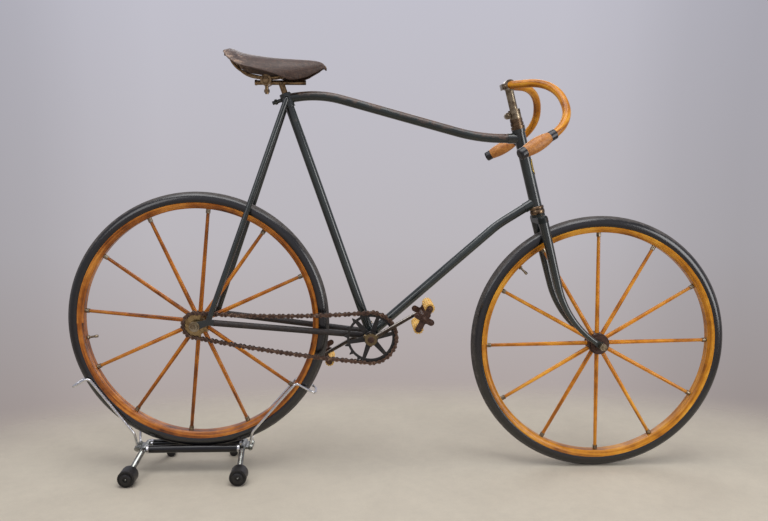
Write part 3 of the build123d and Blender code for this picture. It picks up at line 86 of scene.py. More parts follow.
class Finish:
    """One procedural finish, listed by name: most methods add a node and return its result's socket."""

    def __init__(self, name):
        self.material = bpy.data.materials.new(name)
        self.material.use_nodes = True
        finishes[name] = self.material
        self.tree = self.material.node_tree
        self.shader = self.tree.nodes["Principled BSDF"]
        self.place = self.add("TexCoord").outputs["Object"]

    def add(self, kind, feeds=None, **settings):
        node = self.tree.nodes.new("ShaderNode" + kind)
        for key, value in settings.items():
            setattr(node, key, value)
        for key, value in (feeds or {}).items():
            self.feed(node.inputs[key], value)
        return node

    def feed(self, socket, value):
        if isinstance(value, bpy.types.NodeSocket):
            self.tree.links.new(value, socket)
        else:
            socket.default_value = value

    def sum(self, operation, first, second=0.0, third=0.0):
        return self.add("Math", {0: first, 1: second, 2: third}, operation=operation).outputs[0]

    def times(self, first, second, plus=0.0):
        return self.sum("MULTIPLY_ADD", first, second, plus)

    def length(self, vector):
        return self.add("VectorMath", {0: vector}, operation="LENGTH").outputs["Value"]

    def parts(self, vector):
        return self.add("SeparateXYZ", {0: vector}).outputs

    def joined(self, x, y, z):
        return self.add("CombineXYZ", {0: x, 1: y, 2: z}).outputs[0]

    def stretched(self, place, scale, shift=(0, 0, 0)):
        feeds = {"Vector": place, "Scale": scale, "Location": shift}
        return self.add("Mapping", feeds).outputs[0]

    def mottle(self, size, place=None, detail=4.0, rough=0.55, twist=0.0):
        feeds = {"Vector": place or self.place, "Scale": 1 / size, "Detail": detail}
        feeds |= {"Roughness": rough, "Distortion": twist}
        return self.add("TexNoise", feeds).outputs["Fac"]

    def cells(self, size):
        feeds = {"Vector": self.place, "Scale": 1 / size}
        return self.add("TexVoronoi", feeds).outputs["Distance"]

    def rising(self, value, low, high):
        feeds = {0: value, 1: low, 2: high}
        return self.add("MapRange", feeds, interpolation_type="SMOOTHSTEP").outputs[0]

    def graded(self, share, *stops):
        node = self.add("ValToRGB", {0: share})
        ramp = node.color_ramp.elements
        for index, (at, value) in enumerate(stops):
            stop = ramp[index] if index < 2 else ramp.new(at)
            stop.position = at
            stop.color = chart(*value) if isinstance(value, tuple) else (value, value, value, 1)
        return node.outputs[0]

    def blend(self, share, under, over):
        node = self.add("Mix", data_type="RGBA")
        for socket, value in ((0, share), (6, under), (7, over)):
            self.feed(node.inputs[socket], chart(*value) if isinstance(value, tuple) else value)
        return node.outputs[2]

    def facing_up(self):
        return self.parts(self.add("TexCoord").outputs["Normal"])[2]

    def relief(self, height, depth):
        feeds = {"Height": height, "Distance": depth, "Strength": 1.0}
        self.dress(Normal=self.add("Bump", feeds).outputs[0])

    def dress(self, **feeds):
        for key, value in feeds.items():
            self.feed(self.shader.inputs[key.replace("_", " ")], value)


finishes = {}
print("finish mixer ready")

# %% [markdown]
# The studio is plain: a pale floor that fades out into a backdrop, so that any side of the bicycle can
# be looked at. A curved sheet would do for one side, but it has a back, so the backdrop is the world's
# own colour: warm grey low down, cooler above, and brightest in the middle. Straight from the camera,
# and in reflections, it shows in full; as a light on the bicycle it is dimmed, because the lamps do
# most of the lighting and a colour then renders about as it is written.

# %% Floor
FLOOR_RADIUS, FLOOR_SIDES, FLOOR_DROP = 4.0, 96, 0.0004
FADE_START, FADE_END = 0.62, 1.05
FADE_STRETCH, FADE_SHIFT = (0.55, 1, 1), (0, 0.14, 0)
FLOOR_COLOUR = (207, 198, 180)
FLOOR_SPECK = (150, 140, 128)


def circle(count):
    """Even angles once round a circle."""
    return np.linspace(0, 2 * pi, count, endpoint=False)


turn = circle(FLOOR_SIDES)
edge_points = np.stack([np.cos(turn), np.sin(turn), 0 * turn], 1) * FLOOR_RADIUS
floor_mesh = bpy.data.meshes.new("studio_floor")
floor_mesh.from_pydata(edge_points - (0, 0, FLOOR_DROP), [], [range(FLOOR_SIDES)])
floor = bpy.data.objects.new("studio_floor", floor_mesh)
scene.collection.objects.link(floor)

ground = Finish("studio_floor")
oval = ground.stretched(ground.place, FADE_STRETCH, FADE_SHIFT)
far = ground.length(oval)
speck = ground.graded(ground.mottle(0.004, detail=5), (0.3, 0.90), (0.7, 1.0))
smudge = ground.graded(ground.mottle(0.22, detail=5, rough=0.6), (0.35, 0.86), (0.6, 1.0))
dirt = ground.graded(ground.mottle(0.03, detail=8, rough=0.7), (0.35, 0.90), (0.6, 1.0))
clean = ground.times(ground.times(speck, smudge), dirt)
ground.dress(Base_Color=ground.blend(clean, FLOOR_SPECK, FLOOR_COLOUR), Roughness=0.75)
fade = ground.rising(far, FADE_START, FADE_END)
clear = ground.add("BsdfTransparent").outputs[0]
meeting = ground.add("MixShader", {0: fade, 1: ground.shader.outputs[0], 2: clear})
ground.tree.links.new(meeting.outputs[0], ground.tree.nodes["Material Output"].inputs[0])
floor_mesh.materials.append(ground.material)
print("floor radius", FLOOR_RADIUS)

# %% Backdrop
# Each stop is how far a direction climbs, with half added, and the wall's colour there
WALL_TONES = ((0.20, (174, 163, 160)), (0.40, (187, 183, 188)), (0.72, (194, 193, 204)))
BACKDROP_LIGHT = 0.55
# The wall is brightest in the middle: each stop is a direction's share across, and the light there
WALL_STOPS = ((0.249, 1.0), (0.326, 0.93), (0.387, 0.82), (0.453, 0.75))


class Sky(Finish):
    """The same node methods on the world, whose place is a direction."""

    def __init__(self, world):
        self.tree = world.node_tree
        self.shader = self.tree.nodes["Background"]
        self.place = self.add("TexCoord").outputs["Generated"]


world = bpy.data.worlds.new("studio")
scene.world = world
world.use_nodes = True
sky = Sky(world)
across, _, climb = sky.parts(sky.place)
sky_tone = sky.graded(sky.sum("ADD", climb, 0.5), *WALL_TONES)
sky_light = sky.graded(sky.sum("ABSOLUTE", across), *WALL_STOPS)
ray = sky.add("LightPath").outputs
seen = sky.sum("MAXIMUM", ray["Is Camera Ray"], ray["Is Glossy Ray"])
seen = sky.sum("MAXIMUM", seen, ray["Is Transmission Ray"])
sky_strength = sky.times(seen, 1 - BACKDROP_LIGHT, BACKDROP_LIGHT)
sky.dress(Color=sky_tone, Strength=sky.times(sky_light, sky_strength))
print("backdrop lights at", BACKDROP_LIGHT)

# %% [markdown]
# A wide lamp overhead does most of the lighting, as in a photographer's studio. A tall one at the right
# draws a bright line down each tube, and two weaker ones open up the shadows.

# %% Lamps
# Each row: name, place, point it faces, width and height, power in watts
LAMPS = (
    ("overhead", (-0.2, -0.6, 3.0), (0.0, 0.0, 0.4), (3.0, 1.8), 58),
    ("front_left", (-2.4, -2.6, 2.3), (-0.2, 0.0, 0.5), (1.6, 1.6), 18),
    ("right_strip", (2.4, -1.7, 1.0), (0.2, 0.0, 0.8), (1.2, 1.8), 30),
    ("behind", (0.4, 2.6, 2.2), (0.0, 0.0, 0.5), (2.4, 1.4), 18),
)
for name, place, target, (width, height), power in LAMPS:
    lamp = bpy.data.lights.new(name, "AREA")
    lamp.shape = "RECTANGLE"
    lamp.size, lamp.size_y, lamp.energy = width, height, power
    holder = bpy.data.objects.new(name, lamp)
    holder.location = place
    aim = np.array(place) - np.array(target)
    tilt = atan2(hypot(aim[0], aim[1]), aim[2])
    holder.rotation_euler = (tilt, 0, atan2(aim[1], aim[0]) + pi / 2)
    scene.collection.objects.link(holder)
print("lamps", len(LAMPS))

# %% [markdown]
# The tubes are coated with a dark slate-green stoving enamel. After a century it has lost some gloss,
# brown primer and rust show in rubbed patches, mostly on the upper sides, and tiny chips are scattered
# about. Painting the wear by hand would take long, so a streaky noise chooses the patches, the surface
# normal moves them to the top, and cells thinned out by a second noise give the chips.

# %% Frame enamel
def enamel(name, rubbed, topside, gloss):
    """Slate-green enamel; rubbed (0 to 1) is how much of it has worn down to brown, topside how much
    more of that lies on the upper side, and gloss how much clear shine is left."""
    coat = Finish(name)
    tone = coat.graded(coat.mottle(0.09, detail=3), (0.35, (21, 27, 26)), (0.68, (39, 48, 46)))
    streaks = coat.mottle(0.05, detail=8, rough=0.68, twist=0.6)
    upward = coat.times(coat.facing_up(), topside)
    start, full = 0.70 - 0.22 * rubbed, 0.84 - 0.18 * rubbed
    patch = coat.graded(coat.sum("ADD", streaks, upward), (start, 0.0), (full, 1.0))
    brown = coat.graded(coat.mottle(0.008, detail=6), (0.3, (58, 44, 38)), (0.7, (104, 80, 66)))
    chips = coat.graded(coat.cells(0.006), (0.04, 1.0), (0.075, 0.0))
    chosen = coat.graded(coat.mottle(0.03, detail=2), (0.58, 0.0), (0.66, 1.0))
    worn = coat.blend(patch, tone, brown)
    coat.dress(Base_Color=coat.blend(coat.times(chips, chosen), worn, (128, 92, 66)))
    coat.dress(Roughness=coat.times(patch, 0.3, 0.5 - 0.3 * gloss))
    coat.dress(Specular_IOR_Level=0.2 + 0.3 * gloss, Coat_Weight=0.6 * gloss, Coat_Roughness=0.1)
    coat.relief(coat.sum("SUBTRACT", coat.mottle(0.0016, detail=3), patch), 0.00012)


# Each row: finish, rubbed, topside, gloss
ENAMELS = (
    ("frame_paint", 0.25, 0.10, 1.0),
    ("top_tube_paint", 0.85, 0.22, 0.7),
    ("dull_paint", 0.62, 0.05, 0.15),
)
for row in ENAMELS:
    enamel(*row)
print("enamels", len(ENAMELS))

# %% [markdown]
# Bright parts were nickel plated, and plating tarnishes yellow-brown and pits. One function mixes it: a
# share of bright metal, a share of tarnish, and dark pits, which also take away the metal's shine. A
# table gives each metal its own colours, so that a change to one leaves the others alone. Near the
# bracket axle the plating is worn to a brass yellow, and the cranks get a painted highlight on their
# upper faces.

# %% Tarnished metals
BRACKET = (-0.0825, 0.0, 0.3856)
BRASSY_REACH = (0.026, 0.014)
BRASSY = (128, 112, 82)
# Near-white colour of the painted highlight on upper faces
PAINTED_TOP_HIGHLIGHT = (222, 214, 202)


def plated(name, bright, tarnish, pit, spread, gloss, brassy_and_highlit):
    """Metal with tarnish: spread (0 to 1) is how far the tarnish goes, gloss the bright part's
    roughness, and the last flag paints a highlight on the upper faces and turns the metal yellow
    near the bracket axle."""
    metal = Finish(name)
    cloud = metal.mottle(0.022, detail=8, rough=0.66, twist=0.4)
    stain = metal.graded(cloud, (0.62 - 0.34 * spread, 0.0), (0.78 - 0.24 * spread, 1.0))
    fine = metal.mottle(0.0032, detail=6, rough=0.7)
    pits = metal.graded(fine, (0.56 - 0.1 * spread, 0.0), (0.70, 1.0))
    colour = metal.blend(stain, bright, tarnish)
    if brassy_and_highlit:
        # Upper faces are mixed towards near-white: a painted highlight along the top of each crank
        top = metal.graded(metal.facing_up(), (0.45, 0.0), (0.8, 0.75))
        colour = metal.blend(top, colour, PAINTED_TOP_HIGHLIGHT)
        flat = metal.stretched(metal.place, (1, 0, 1), (-BRACKET[0], 0, -BRACKET[2]))
        away = metal.length(flat)
        colour = metal.blend(metal.rising(away, *BRASSY_REACH), colour, BRASSY)
    metal.dress(Base_Color=metal.blend(metal.times(pits, 0.8), colour, pit))
    metal.dress(Metallic=metal.times(pits, -0.55, 1.0))
    matt = metal.sum("ADD", metal.times(stain, 0.22), metal.times(pits, 0.3))
    metal.dress(Roughness=metal.sum("ADD", matt, gloss))
    metal.relief(metal.sum("SUBTRACT", metal.mottle(0.0011, detail=2), pits), 0.0001)


# Each row: finish, bright metal, tarnish, pits, spread, gloss, and whether to paint a top highlight
# and turn brass yellow near the bracket
PLATED = (
    ("tarnished_nickel", (168, 154, 130), (84, 67, 51), (34, 27, 23), 0.62, 0.18, False),
    ("crank_nickel", (84, 74, 66), (42, 35, 31), (25, 21, 19), 0.60, 0.14, True),
    ("seat_brass", (156, 130, 96), (90, 70, 49), (38, 30, 25), 0.62, 0.18, False),
    ("tarnished_brass", (176, 150, 104), (108, 84, 56), (44, 34, 27), 0.60, 0.22, False),
    ("badge_brass", (224, 190, 92), (190, 148, 62), (92, 66, 30), 0.30, 0.22, False),
    ("axle_steel", (178, 166, 140), (118, 98, 72), (48, 37, 31), 0.55, 0.24, False),
    ("headset_bronze", (128, 106, 82), (70, 53, 42), (32, 25, 22), 0.65, 0.22, False),
)
for row in PLATED:
    plated(*row)
print("plated metals", len(PLATED))

# %% [markdown]
# Steel without plating has rusted: the chain, the pedal frames and, less so, the thinly painted
# chainring and chain stays. Noise between three browns is used, because it has no seams and needs no
# map. The same noise makes the pale places rougher and raises the grain. The chain's blocks, set
# between its side plates, are a darker rust that also paints the shade in those gaps.

# %% Rusted steel
def rust(name, dark, mid, pale, shine):
    """Rusted steel: three browns by cloudy noise, rough all over, with a grainy relief."""
    crust = Finish(name)
    cloud = crust.mottle(0.009, detail=9, rough=0.72)
    crust.dress(Base_Color=crust.graded(cloud, (0.32, dark), (0.56, mid), (0.74, pale)), Metallic=shine)
    crust.dress(Roughness=crust.graded(cloud, (0.35, 0.42), (0.7, 0.76)))
    crust.relief(crust.sum("ADD", cloud, crust.mottle(0.0012, detail=4)), 0.00025)


# Each row: finish, dark, middle and pale brown, share of metal shine
RUSTED = (
    ("rusted_steel", (44, 30, 25), (76, 51, 39), (116, 82, 60), 0.30),
    ("chain_rust", (46, 33, 28), (108, 84, 70), (196, 166, 138), 0.6),
    # The blocks' darker rust also paints the shade between the chain's side plates
    ("block_rust_and_shade", (24, 19, 17), (46, 36, 31), (92, 72, 60), 0.45),
    ("stay_brown", (27, 25, 25), (46, 39, 36), (84, 68, 57), 0.10),
    ("ring_paint", (26, 26, 26), (38, 36, 35), (78, 60, 48), 0.15),
)
for row in RUSTED:
    rust(*row)
print("rusted metals", len(RUSTED))

# %% [markdown]
# Rims and spokes are hardwood. Grain runs round the rim but out along each spoke, so the same grain is
# drawn on wheel coordinates: distance round the wheel, distance out from the axle, and distance across.
# The grain is noise that is long one way and short the other two ways. The spokes are drawn darker
# towards their outer ends.

# %% Wood
REAR_AXLE = (-0.5524, 0.0, 0.4236)
FRONT_AXLE = (0.5524, 0.0, 0.3556)
RIM_MIDDLE, SPOKE_MIDDLE = 0.318, 0.16
SPOKE_DARKENS, SPOKE_SHADE = (0.16, 0.33), 0.45


def wheel_place(finish, axle):
    """Sockets for the angle round a wheel, the distance out from its axle, and the distance across."""
    shifted = finish.stretched(finish.place, (1, 1, 1), tuple(-value for value in axle))
    x, y, z = finish.parts(shifted)
    out = finish.length(finish.joined(x, 0.0, z))
    return finish.sum("ARCTAN2", z, x), out, y


def wood(finish, grain_place, pale, mid, dark, shade=0.0):
    """Varnished wood on coordinates whose first direction runs along the grain; shade darkens it."""
    bands = finish.mottle(0.0075, finish.stretched(grain_place, (0.030, 1, 1)), detail=4, twist=0.5)
    pores = finish.mottle(0.0009, finish.stretched(grain_place, (0.045, 1, 1)), detail=3, rough=0.6)
    broad = finish.mottle(0.05, grain_place, detail=4)
    tone = finish.sum("ADD", finish.times(bands, 0.58), finish.times(broad, 0.42))
    colour = finish.graded(tone, (0.36, dark), (0.50, mid), (0.63, pale))
    lines = finish.graded(pores, (0.54, 0.0), (0.72, 0.55))
    worn = finish.blend(lines, colour, dark)
    finish.dress(Base_Color=finish.blend(shade, worn, dark))
    finish.dress(Roughness=finish.graded(pores, (0.4, 0.30), (0.7, 0.46)))
    finish.dress(Specular_IOR_Level=0.3, Coat_Weight=0.2, Coat_Roughness=0.12)
    finish.relief(finish.sum("SUBTRACT", bands, lines), 0.00016)


def wheel_wood(name, axle, on_spokes, *tones):
    """Grain round the rim, where the wheel's angle is turned into a distance, or out along each spoke,
    where the distance from the axle comes first and also darkens the wood."""
    finish = Finish(name)
    angle, out, across = wheel_place(finish, axle)
    grain_place, shade = finish.joined(finish.times(angle, RIM_MIDDLE), out, across), 0.0
    if on_spokes:
        grain_place = finish.joined(out, finish.times(angle, SPOKE_MIDDLE), across)
        shade = finish.times(finish.rising(out, *SPOKE_DARKENS), SPOKE_SHADE)
    wood(finish, grain_place, *tones, shade)


# Each row: finish, the wheel's axle, whether it is on the spokes, then pale, middle and dark wood
WOODS = (
    ("front_rim_wood", FRONT_AXLE, False, (230, 166, 54), (198, 126, 18), (116, 62, 5)),
    ("front_spoke_wood", FRONT_AXLE, True, (244, 174, 56), (216, 134, 22), (126, 66, 6)),
    ("rear_rim_wood", REAR_AXLE, False, (226, 148, 58), (168, 94, 26), (66, 30, 10)),
    ("rear_spoke_wood", REAR_AXLE, True, (230, 150, 46), (186, 106, 20), (90, 43, 8)),
)
for row in WOODS:
    wheel_wood(*row)
print("woods", len(WOODS))

# %% [markdown]
# The grips are cork with dark flecks, their caps and ferrules are black horn, and the pedal blocks are
# rubber that has yellowed. None of these has a grain that runs one way, so each is a cloudy colour, a
# little relief and the right gloss.

# %% Cork, horn and pedal rubber
cork = Finish("grip_cork")
flecks = cork.graded(cork.cells(0.0045), (0.10, 1.0), (0.42, 0.0))
cork_cloud = cork.mottle(0.010, detail=6, rough=0.7)
cork_tone = cork.graded(cork_cloud, (0.3, (146, 82, 30)), (0.7, (216, 148, 70)))
cork.dress(Base_Color=cork.blend(cork.times(flecks, 0.45), cork_tone, (116, 60, 20)))
cork.dress(Roughness=0.5, Coat_Weight=0.15, Coat_Roughness=0.3)
cork.relief(cork.mottle(0.002, detail=5), 0.0003)

horn = Finish("black_horn")
horn_cloud = horn.mottle(0.01, detail=6)
horn.dress(Base_Color=horn.graded(horn_cloud, (0.3, (18, 17, 19)), (0.75, (44, 40, 42))))
horn.dress(Roughness=horn.graded(horn.mottle(0.003), (0.3, 0.22), (0.7, 0.38)))
horn.relief(horn_cloud, 0.0001)

block = Finish("pedal_rubber")
age = block.mottle(0.012, detail=7, rough=0.7)
block_tones = ((0.3, (194, 144, 66)), (0.5, (226, 180, 92)), (0.75, (242, 206, 126)))
block.dress(Base_Color=block.graded(age, *block_tones), Roughness=0.62, Subsurface_Weight=0.04)
block.relief(block.mottle(0.0016, detail=4), 0.0002)
print("finishes so far", len(finishes))

# %% [markdown]
# The stand is new, so its lacquered bars, chromed loops, chromed legs and rubber feet are clean and
# shiny beside the old bicycle. The legs' chrome is coloured darker, a painted reflection of the dark
# room around them. They differ only in colour, gloss and relief, and one function with one noise makes
# all four.

# %% The stand's lacquer, chrome, darkened chrome and rubber
def cloudy(name, grain, dark, pale, glosses, depth=0.0, **shine):
    """One noise gives colour, gloss and relief: grain is its size, detail and roughness, dark and pale
    are each a place on it and a colour, glosses are such places with a roughness."""
    finish = Finish(name)
    size, detail, rough = grain
    cloud = finish.mottle(size, detail=detail, rough=rough)
    finish.dress(Base_Color=finish.graded(cloud, dark, pale), **shine)
    finish.dress(Roughness=finish.graded(cloud, *glosses))
    if depth:
        finish.relief(cloud, depth)


cloudy("stand_black", (0.002, 4, 0.55), (0.4, (11, 10, 12)), (0.8, (24, 22, 25)),
       ((0.3, 0.10), (0.8, 0.2)), Specular_IOR_Level=0.35, Coat_Weight=0.25, Coat_Roughness=0.05)
cloudy("stand_chrome", (0.015, 6, 0.55), (0.3, (200, 200, 203)), (0.7, (228, 228, 228)),
       ((0.3, 0.09), (0.75, 0.24)), Metallic=1.0)
# Chrome coloured darker for the legs, nuts and screws: a painted reflection of the dark surroundings
cloudy("stand_chrome_darkened", (0.012, 7, 0.65), (0.3, (122, 124, 118)), (0.7, (176, 177, 172)),
       ((0.3, 0.14), (0.75, 0.32)), Metallic=1.0)
cloudy("stand_rubber", (0.006, 7, 0.7), (0.35, (13, 12, 13)), (0.8, (38, 35, 34)),
       ((0.3, 0.34), (0.8, 0.6)), depth=0.0002)
print("finishes so far", len(finishes))

# %% [markdown]
# New pieces are grids of points: rows run along the piece and columns go across or around it. One
# helper turns such a grid, or a stack of equal grids for a repeated piece, into a mesh object that
# rides on its body and carries its finish. A second helper does lathe work, which most small fittings
# are made by.

# %% Grids into pieces
SMOOTH_UNDER = radians(38)


def piece(name, grids, body, finish, around=True, along=False):
    """Mesh of one grid or of a stack of grids: each grid square becomes a face, a closed direction
    joins its last line to its first, and caps close the two ends of a tube. Corners get a map of how
    far along (first) and around (second, 0 to 1) they lie."""
    grids = np.asarray(grids, float)
    grids = grids[None] if grids.ndim == 3 else grids
    copies, rows, columns, _ = grids.shape
    row = np.arange(rows if along else rows - 1)[:, None]
    column = np.arange(columns if around else columns - 1)[None]
    steps = ((0, 0), (0, 1), (1, 1), (1, 0))
    corners = [((row + down) % rows) * columns + (column + right) % columns for down, right in steps]
    quads = np.stack(corners, -1).reshape(-1, 4)
    first = np.arange(copies)[:, None] * rows * columns
    faces = (quads[None] + first[..., None]).reshape(-1, 4).tolist()
    ring = np.arange(columns)
    if around and not along:
        faces += (first + ring[::-1]).tolist() + (first + (rows - 1) * columns + ring).tolist()
    mesh = bpy.data.meshes.new(name)
    mesh.from_pydata(grids.reshape(-1, 3), [], faces)
    middles = grids[0].mean(1)
    reach = np.concatenate([[0], np.cumsum(np.linalg.norm(np.diff(middles, axis=0), axis=1))])
    reach = np.append(reach, reach[-1] + (reach[1] - reach[0]))
    shares = [(reach[row + down], (column + right) / columns) for down, right in steps]
    corner_map = [np.stack(np.broadcast_arrays(*pair), -1) for pair in shares]
    flat_map = np.stack(corner_map, 2).reshape(-1, 2)
    whole_map = np.zeros((len(mesh.loops), 2))
    whole_map[: copies * len(flat_map)] = np.tile(flat_map, (copies, 1))
    mesh.uv_layers.new(name="UVMap").data.foreach_set("uv", whole_map.ravel())
    mesh.polygons.foreach_set("use_smooth", np.ones(len(mesh.polygons), bool))
    mesh.set_sharp_from_angle(angle=SMOOTH_UNDER)
    mesh.materials.append(finishes[finish])
    made = bpy.data.objects.new(name, mesh)
    scene.collection.objects.link(made)
    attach(made, body)
    print(name, "faces", len(mesh.polygons))
    return made


def unit_length(ways):
    """The same directions, each with a length of one."""
    return ways / np.linalg.norm(ways, axis=-1, keepdims=True)


def frames(axes):
    """For each axis direction, that direction and two more at right angles to it."""
    axes = unit_length(np.atleast_2d(np.asarray(axes, float)))
    steep = np.abs(axes[:, 2:3]) >= 0.9
    helper = np.where(steep, [[1.0, 0.0, 0.0]], [[0.0, 0.0, 1.0]])
    right = unit_length(np.cross(helper, axes))
    return axes, right, np.cross(axes, right)


def turned(profile, origins, axes, sides):
    """Lathe work: a profile of (distance along, radius) pairs spun about each axis from each origin."""
    profile = np.asarray(profile, float)
    axes, right, up = frames(axes)
    origins = np.atleast_2d(np.asarray(origins, float))
    turn = circle(sides)[None, :, None]
    spin = np.cos(turn) * right[:, None] + np.sin(turn) * up[:, None]
    along = profile[None, :, 0, None, None] * axes[:, None, None]
    return origins[:, None, None] + along + profile[None, :, 1, None, None] * spin[:, None]


print("grid helpers ready")

# %% [markdown]
# The handlebar was steamed and bent from one length of wood, so its grain follows the bends. The packed
# solid has the right shape but no coordinate along its length, so the same bar is made again as a round
# profile carried along the same cornered line, each corner rounded by an arc. Its map then gives the
# grain a direction.

# %% Steering axis
HEAD_FOOT = np.array([0.47524, 0.0, 0.33564])
HEAD_UP = np.array([-0.25038, 0.0, 0.96815])
HEAD_FORWARD = np.array([0.96815, 0.0, 0.25038])
LEFT = np.array([0.0, 1.0, 0.0])


def steering(points):
    """Points given forward, left and up the head axis, in millimetres, as places in metres."""
    forward, left, up = np.moveaxis(np.asarray(points, float)[..., None] / 1000, -2, 0)
    return HEAD_FOOT + forward * HEAD_FORWARD + left * LEFT + up * HEAD_UP


print("head axis through", HEAD_FOOT)

# %% Handlebar
BAR_CENTRE = 747.7
BAR_RADIUS = 0.0105
GRIP_LENGTH = 92.0
BAR_END = np.array([-62.6, 241.7, -175.9])
BAR_CORNER = np.array([92.0, 195.0, -134.5])
BAR_SHOULDER = np.array([100.7, 94.7, -21.7])
BAR_MIDDLE = np.array([-15.0, 0.0, 5.3])
BAR_BENDS = (106.0, 132.0, 30.0, 132.0, 106.0)
BAR_TONES = ((238, 172, 54), (206, 130, 18), (132, 70, 5))
RING_HELPER = (0.35, 0.0, 1.0)


def rounded(corners, bends, arc_steps=24, run_steps=6):
    """A cornered line with each corner rounded: runs stop short of a corner by the bend's radius times
    the tangent of half the turn, and an arc about the bend's centre joins them."""
    corners = np.asarray(corners, float)
    ways = unit_length(np.diff(corners, axis=0))
    stop, path = corners[0], []
    run = np.linspace(0, 1, run_steps, endpoint=False)[:, None]
    for corner, before, after, bend in zip(corners[1:-1], ways, ways[1:], bends):
        turn = np.arccos(np.clip(before @ after, -1, 1))
        start = corner - before * bend * np.tan(turn / 2)
        inward = (after - before * np.cos(turn)) / np.sin(turn)
        swing = np.linspace(0, turn, arc_steps)[:, None]
        arc = start + bend * (np.sin(swing) * before + (1 - np.cos(swing)) * inward)
        path += [stop + run * (start - stop), arc[:-1]]
        stop = arc[-1]
    last = np.linspace(0, 1, run_steps)[:, None]
    return np.concatenate(path + [stop + last * (corners[-1] - stop)])


def carried(path, radius, sides=28):
    """A round profile carried along a path: each ring stands square to the path, and a fixed helper
    direction keeps the rings from twisting."""
    heading = unit_length(np.gradient(path, axis=0))
    right = unit_length(np.cross(heading, RING_HELPER))
    up = np.cross(right, heading)
    angle = circle(sides)[None, :, None]
    return path[:, None] + radius * (np.cos(angle) * right[:, None] - np.sin(angle) * up[:, None])


grip_start = BAR_END - GRIP_LENGTH * unit_length(BAR_END - BAR_CORNER)
left_half = np.array([BAR_SHOULDER, BAR_CORNER, grip_start])
right_half = left_half * (1, -1, 1)
bar_corners = np.concatenate([right_half[::-1], [BAR_MIDDLE], left_half]) + (0, 0, BAR_CENTRE)
bar_path = steering(rounded(bar_corners, BAR_BENDS))

bar_finish = Finish("bar_wood")
bar_along, bar_around, _ = bar_finish.parts(bar_finish.add("UVMap").outputs[0])
bar_angle = bar_finish.times(bar_around, 2 * pi)
waves = [bar_finish.sum(wave, bar_angle) for wave in ("COSINE", "SINE")]
ring_x, ring_y = [bar_finish.times(wave, BAR_RADIUS) for wave in waves]
wood(bar_finish, bar_finish.joined(bar_along, ring_x, ring_y), *BAR_TONES)
bar = piece("bent_wood_bar", carried(bar_path, BAR_RADIUS), "steering", "bar_wood")
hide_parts("handlebar")

# %% [markdown]
# The tyres are black rubber tubes glued to the wooden rims. The tread has gone grey-brown and matt
# where it touched the road, and the sides still shine. A tyre is a ring whose radius depends on the
# angle round its section: shallow ribs run round the tread, and the sides are smooth.

# %% Tyres
TYRE_CENTRE, TYRE_RADIUS = 0.3356, 0.020
TREAD_HALF, TREAD_SHARPNESS = 0.62, 40
TREAD_FROM, TREAD_FULL = 0.3462, 0.3522
RIB_DEPTH, RIBS = 0.0005, 7
TYRE_ROWS, TYRE_COLUMNS = 360, 72


def tyre_rubber(name, axle):
    """Black rubber, grey-brown and matt where the distance from the axle says tread."""
    rubber = Finish(name)
    angle, out, across = wheel_place(rubber, axle)
    around = rubber.joined(rubber.times(angle, TYRE_CENTRE), out, across)
    scuff = rubber.mottle(0.006, rubber.stretched(around, (0.5, 1, 1)), detail=7, rough=0.7)
    wide = rubber.mottle(0.10, around, detail=2)
    edge = rubber.times(rubber.sum("SUBTRACT", scuff, 0.5), 0.006, out)
    edge = rubber.times(rubber.sum("SUBTRACT", wide, 0.5), 0.010, edge)
    tread = rubber.rising(edge, TREAD_FROM, TREAD_FULL)
    side = rubber.graded(scuff, (0.35, (10, 9, 10)), (0.75, (28, 26, 26)))
    road = rubber.graded(scuff, (0.3, (40, 36, 34)), (0.55, (72, 66, 62)), (0.75, (108, 100, 95)))
    rubber.dress(Base_Color=rubber.blend(tread, side, road))
    rubber.dress(Roughness=rubber.times(tread, 0.55, 0.2), Specular_IOR_Level=0.75)
    rubber.relief(scuff, 0.0002)


round_wheel = circle(TYRE_ROWS)[:, None]
section = np.linspace(-pi, pi, TYRE_COLUMNS, endpoint=False)[None]
in_tread = 1 / (1 + np.exp((np.abs(section) - TREAD_HALF) * TREAD_SHARPNESS))
ribs = RIB_DEPTH * in_tread * (np.cos(section * RIBS * pi / TREAD_HALF) - 1) / 2
out = TYRE_CENTRE + (TYRE_RADIUS + ribs) * np.cos(section)
across = np.broadcast_to((TYRE_RADIUS + ribs) * np.sin(section), (TYRE_ROWS, TYRE_COLUMNS))
tyre_ring = np.stack([out * np.cos(round_wheel), across, out * np.sin(round_wheel)], -1)
for wheel, axle in (("front", FRONT_AXLE), ("rear", REAR_AXLE)):
    rubber = f"{wheel}_tyre_rubber"
    tyre_rubber(rubber, axle)
    ring, body = tyre_ring + axle, f"{wheel}_wheel"
    tyre = piece(f"{wheel}_ribbed_tyre", ring, body, rubber, along=True)
    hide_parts(f"{wheel}_tyre")

# %% [markdown]
# The saddle is one piece of thick leather, wet-moulded and riveted to a wide rear plate and a narrow
# nose. Seen from the side its top dips in front of the high rear edge, the nose turns down to a point,
# and the skirts hang lowest beside the post. Sections from back to front give half width, crown and
# skirt, a smooth curve runs through them, and each section is an arc bowed by its skirt.

# %% Saddle shape
POST_TOP = np.array([-0.31846, 0.0, 1.0670])
LEATHER_THICKNESS = 0.0045
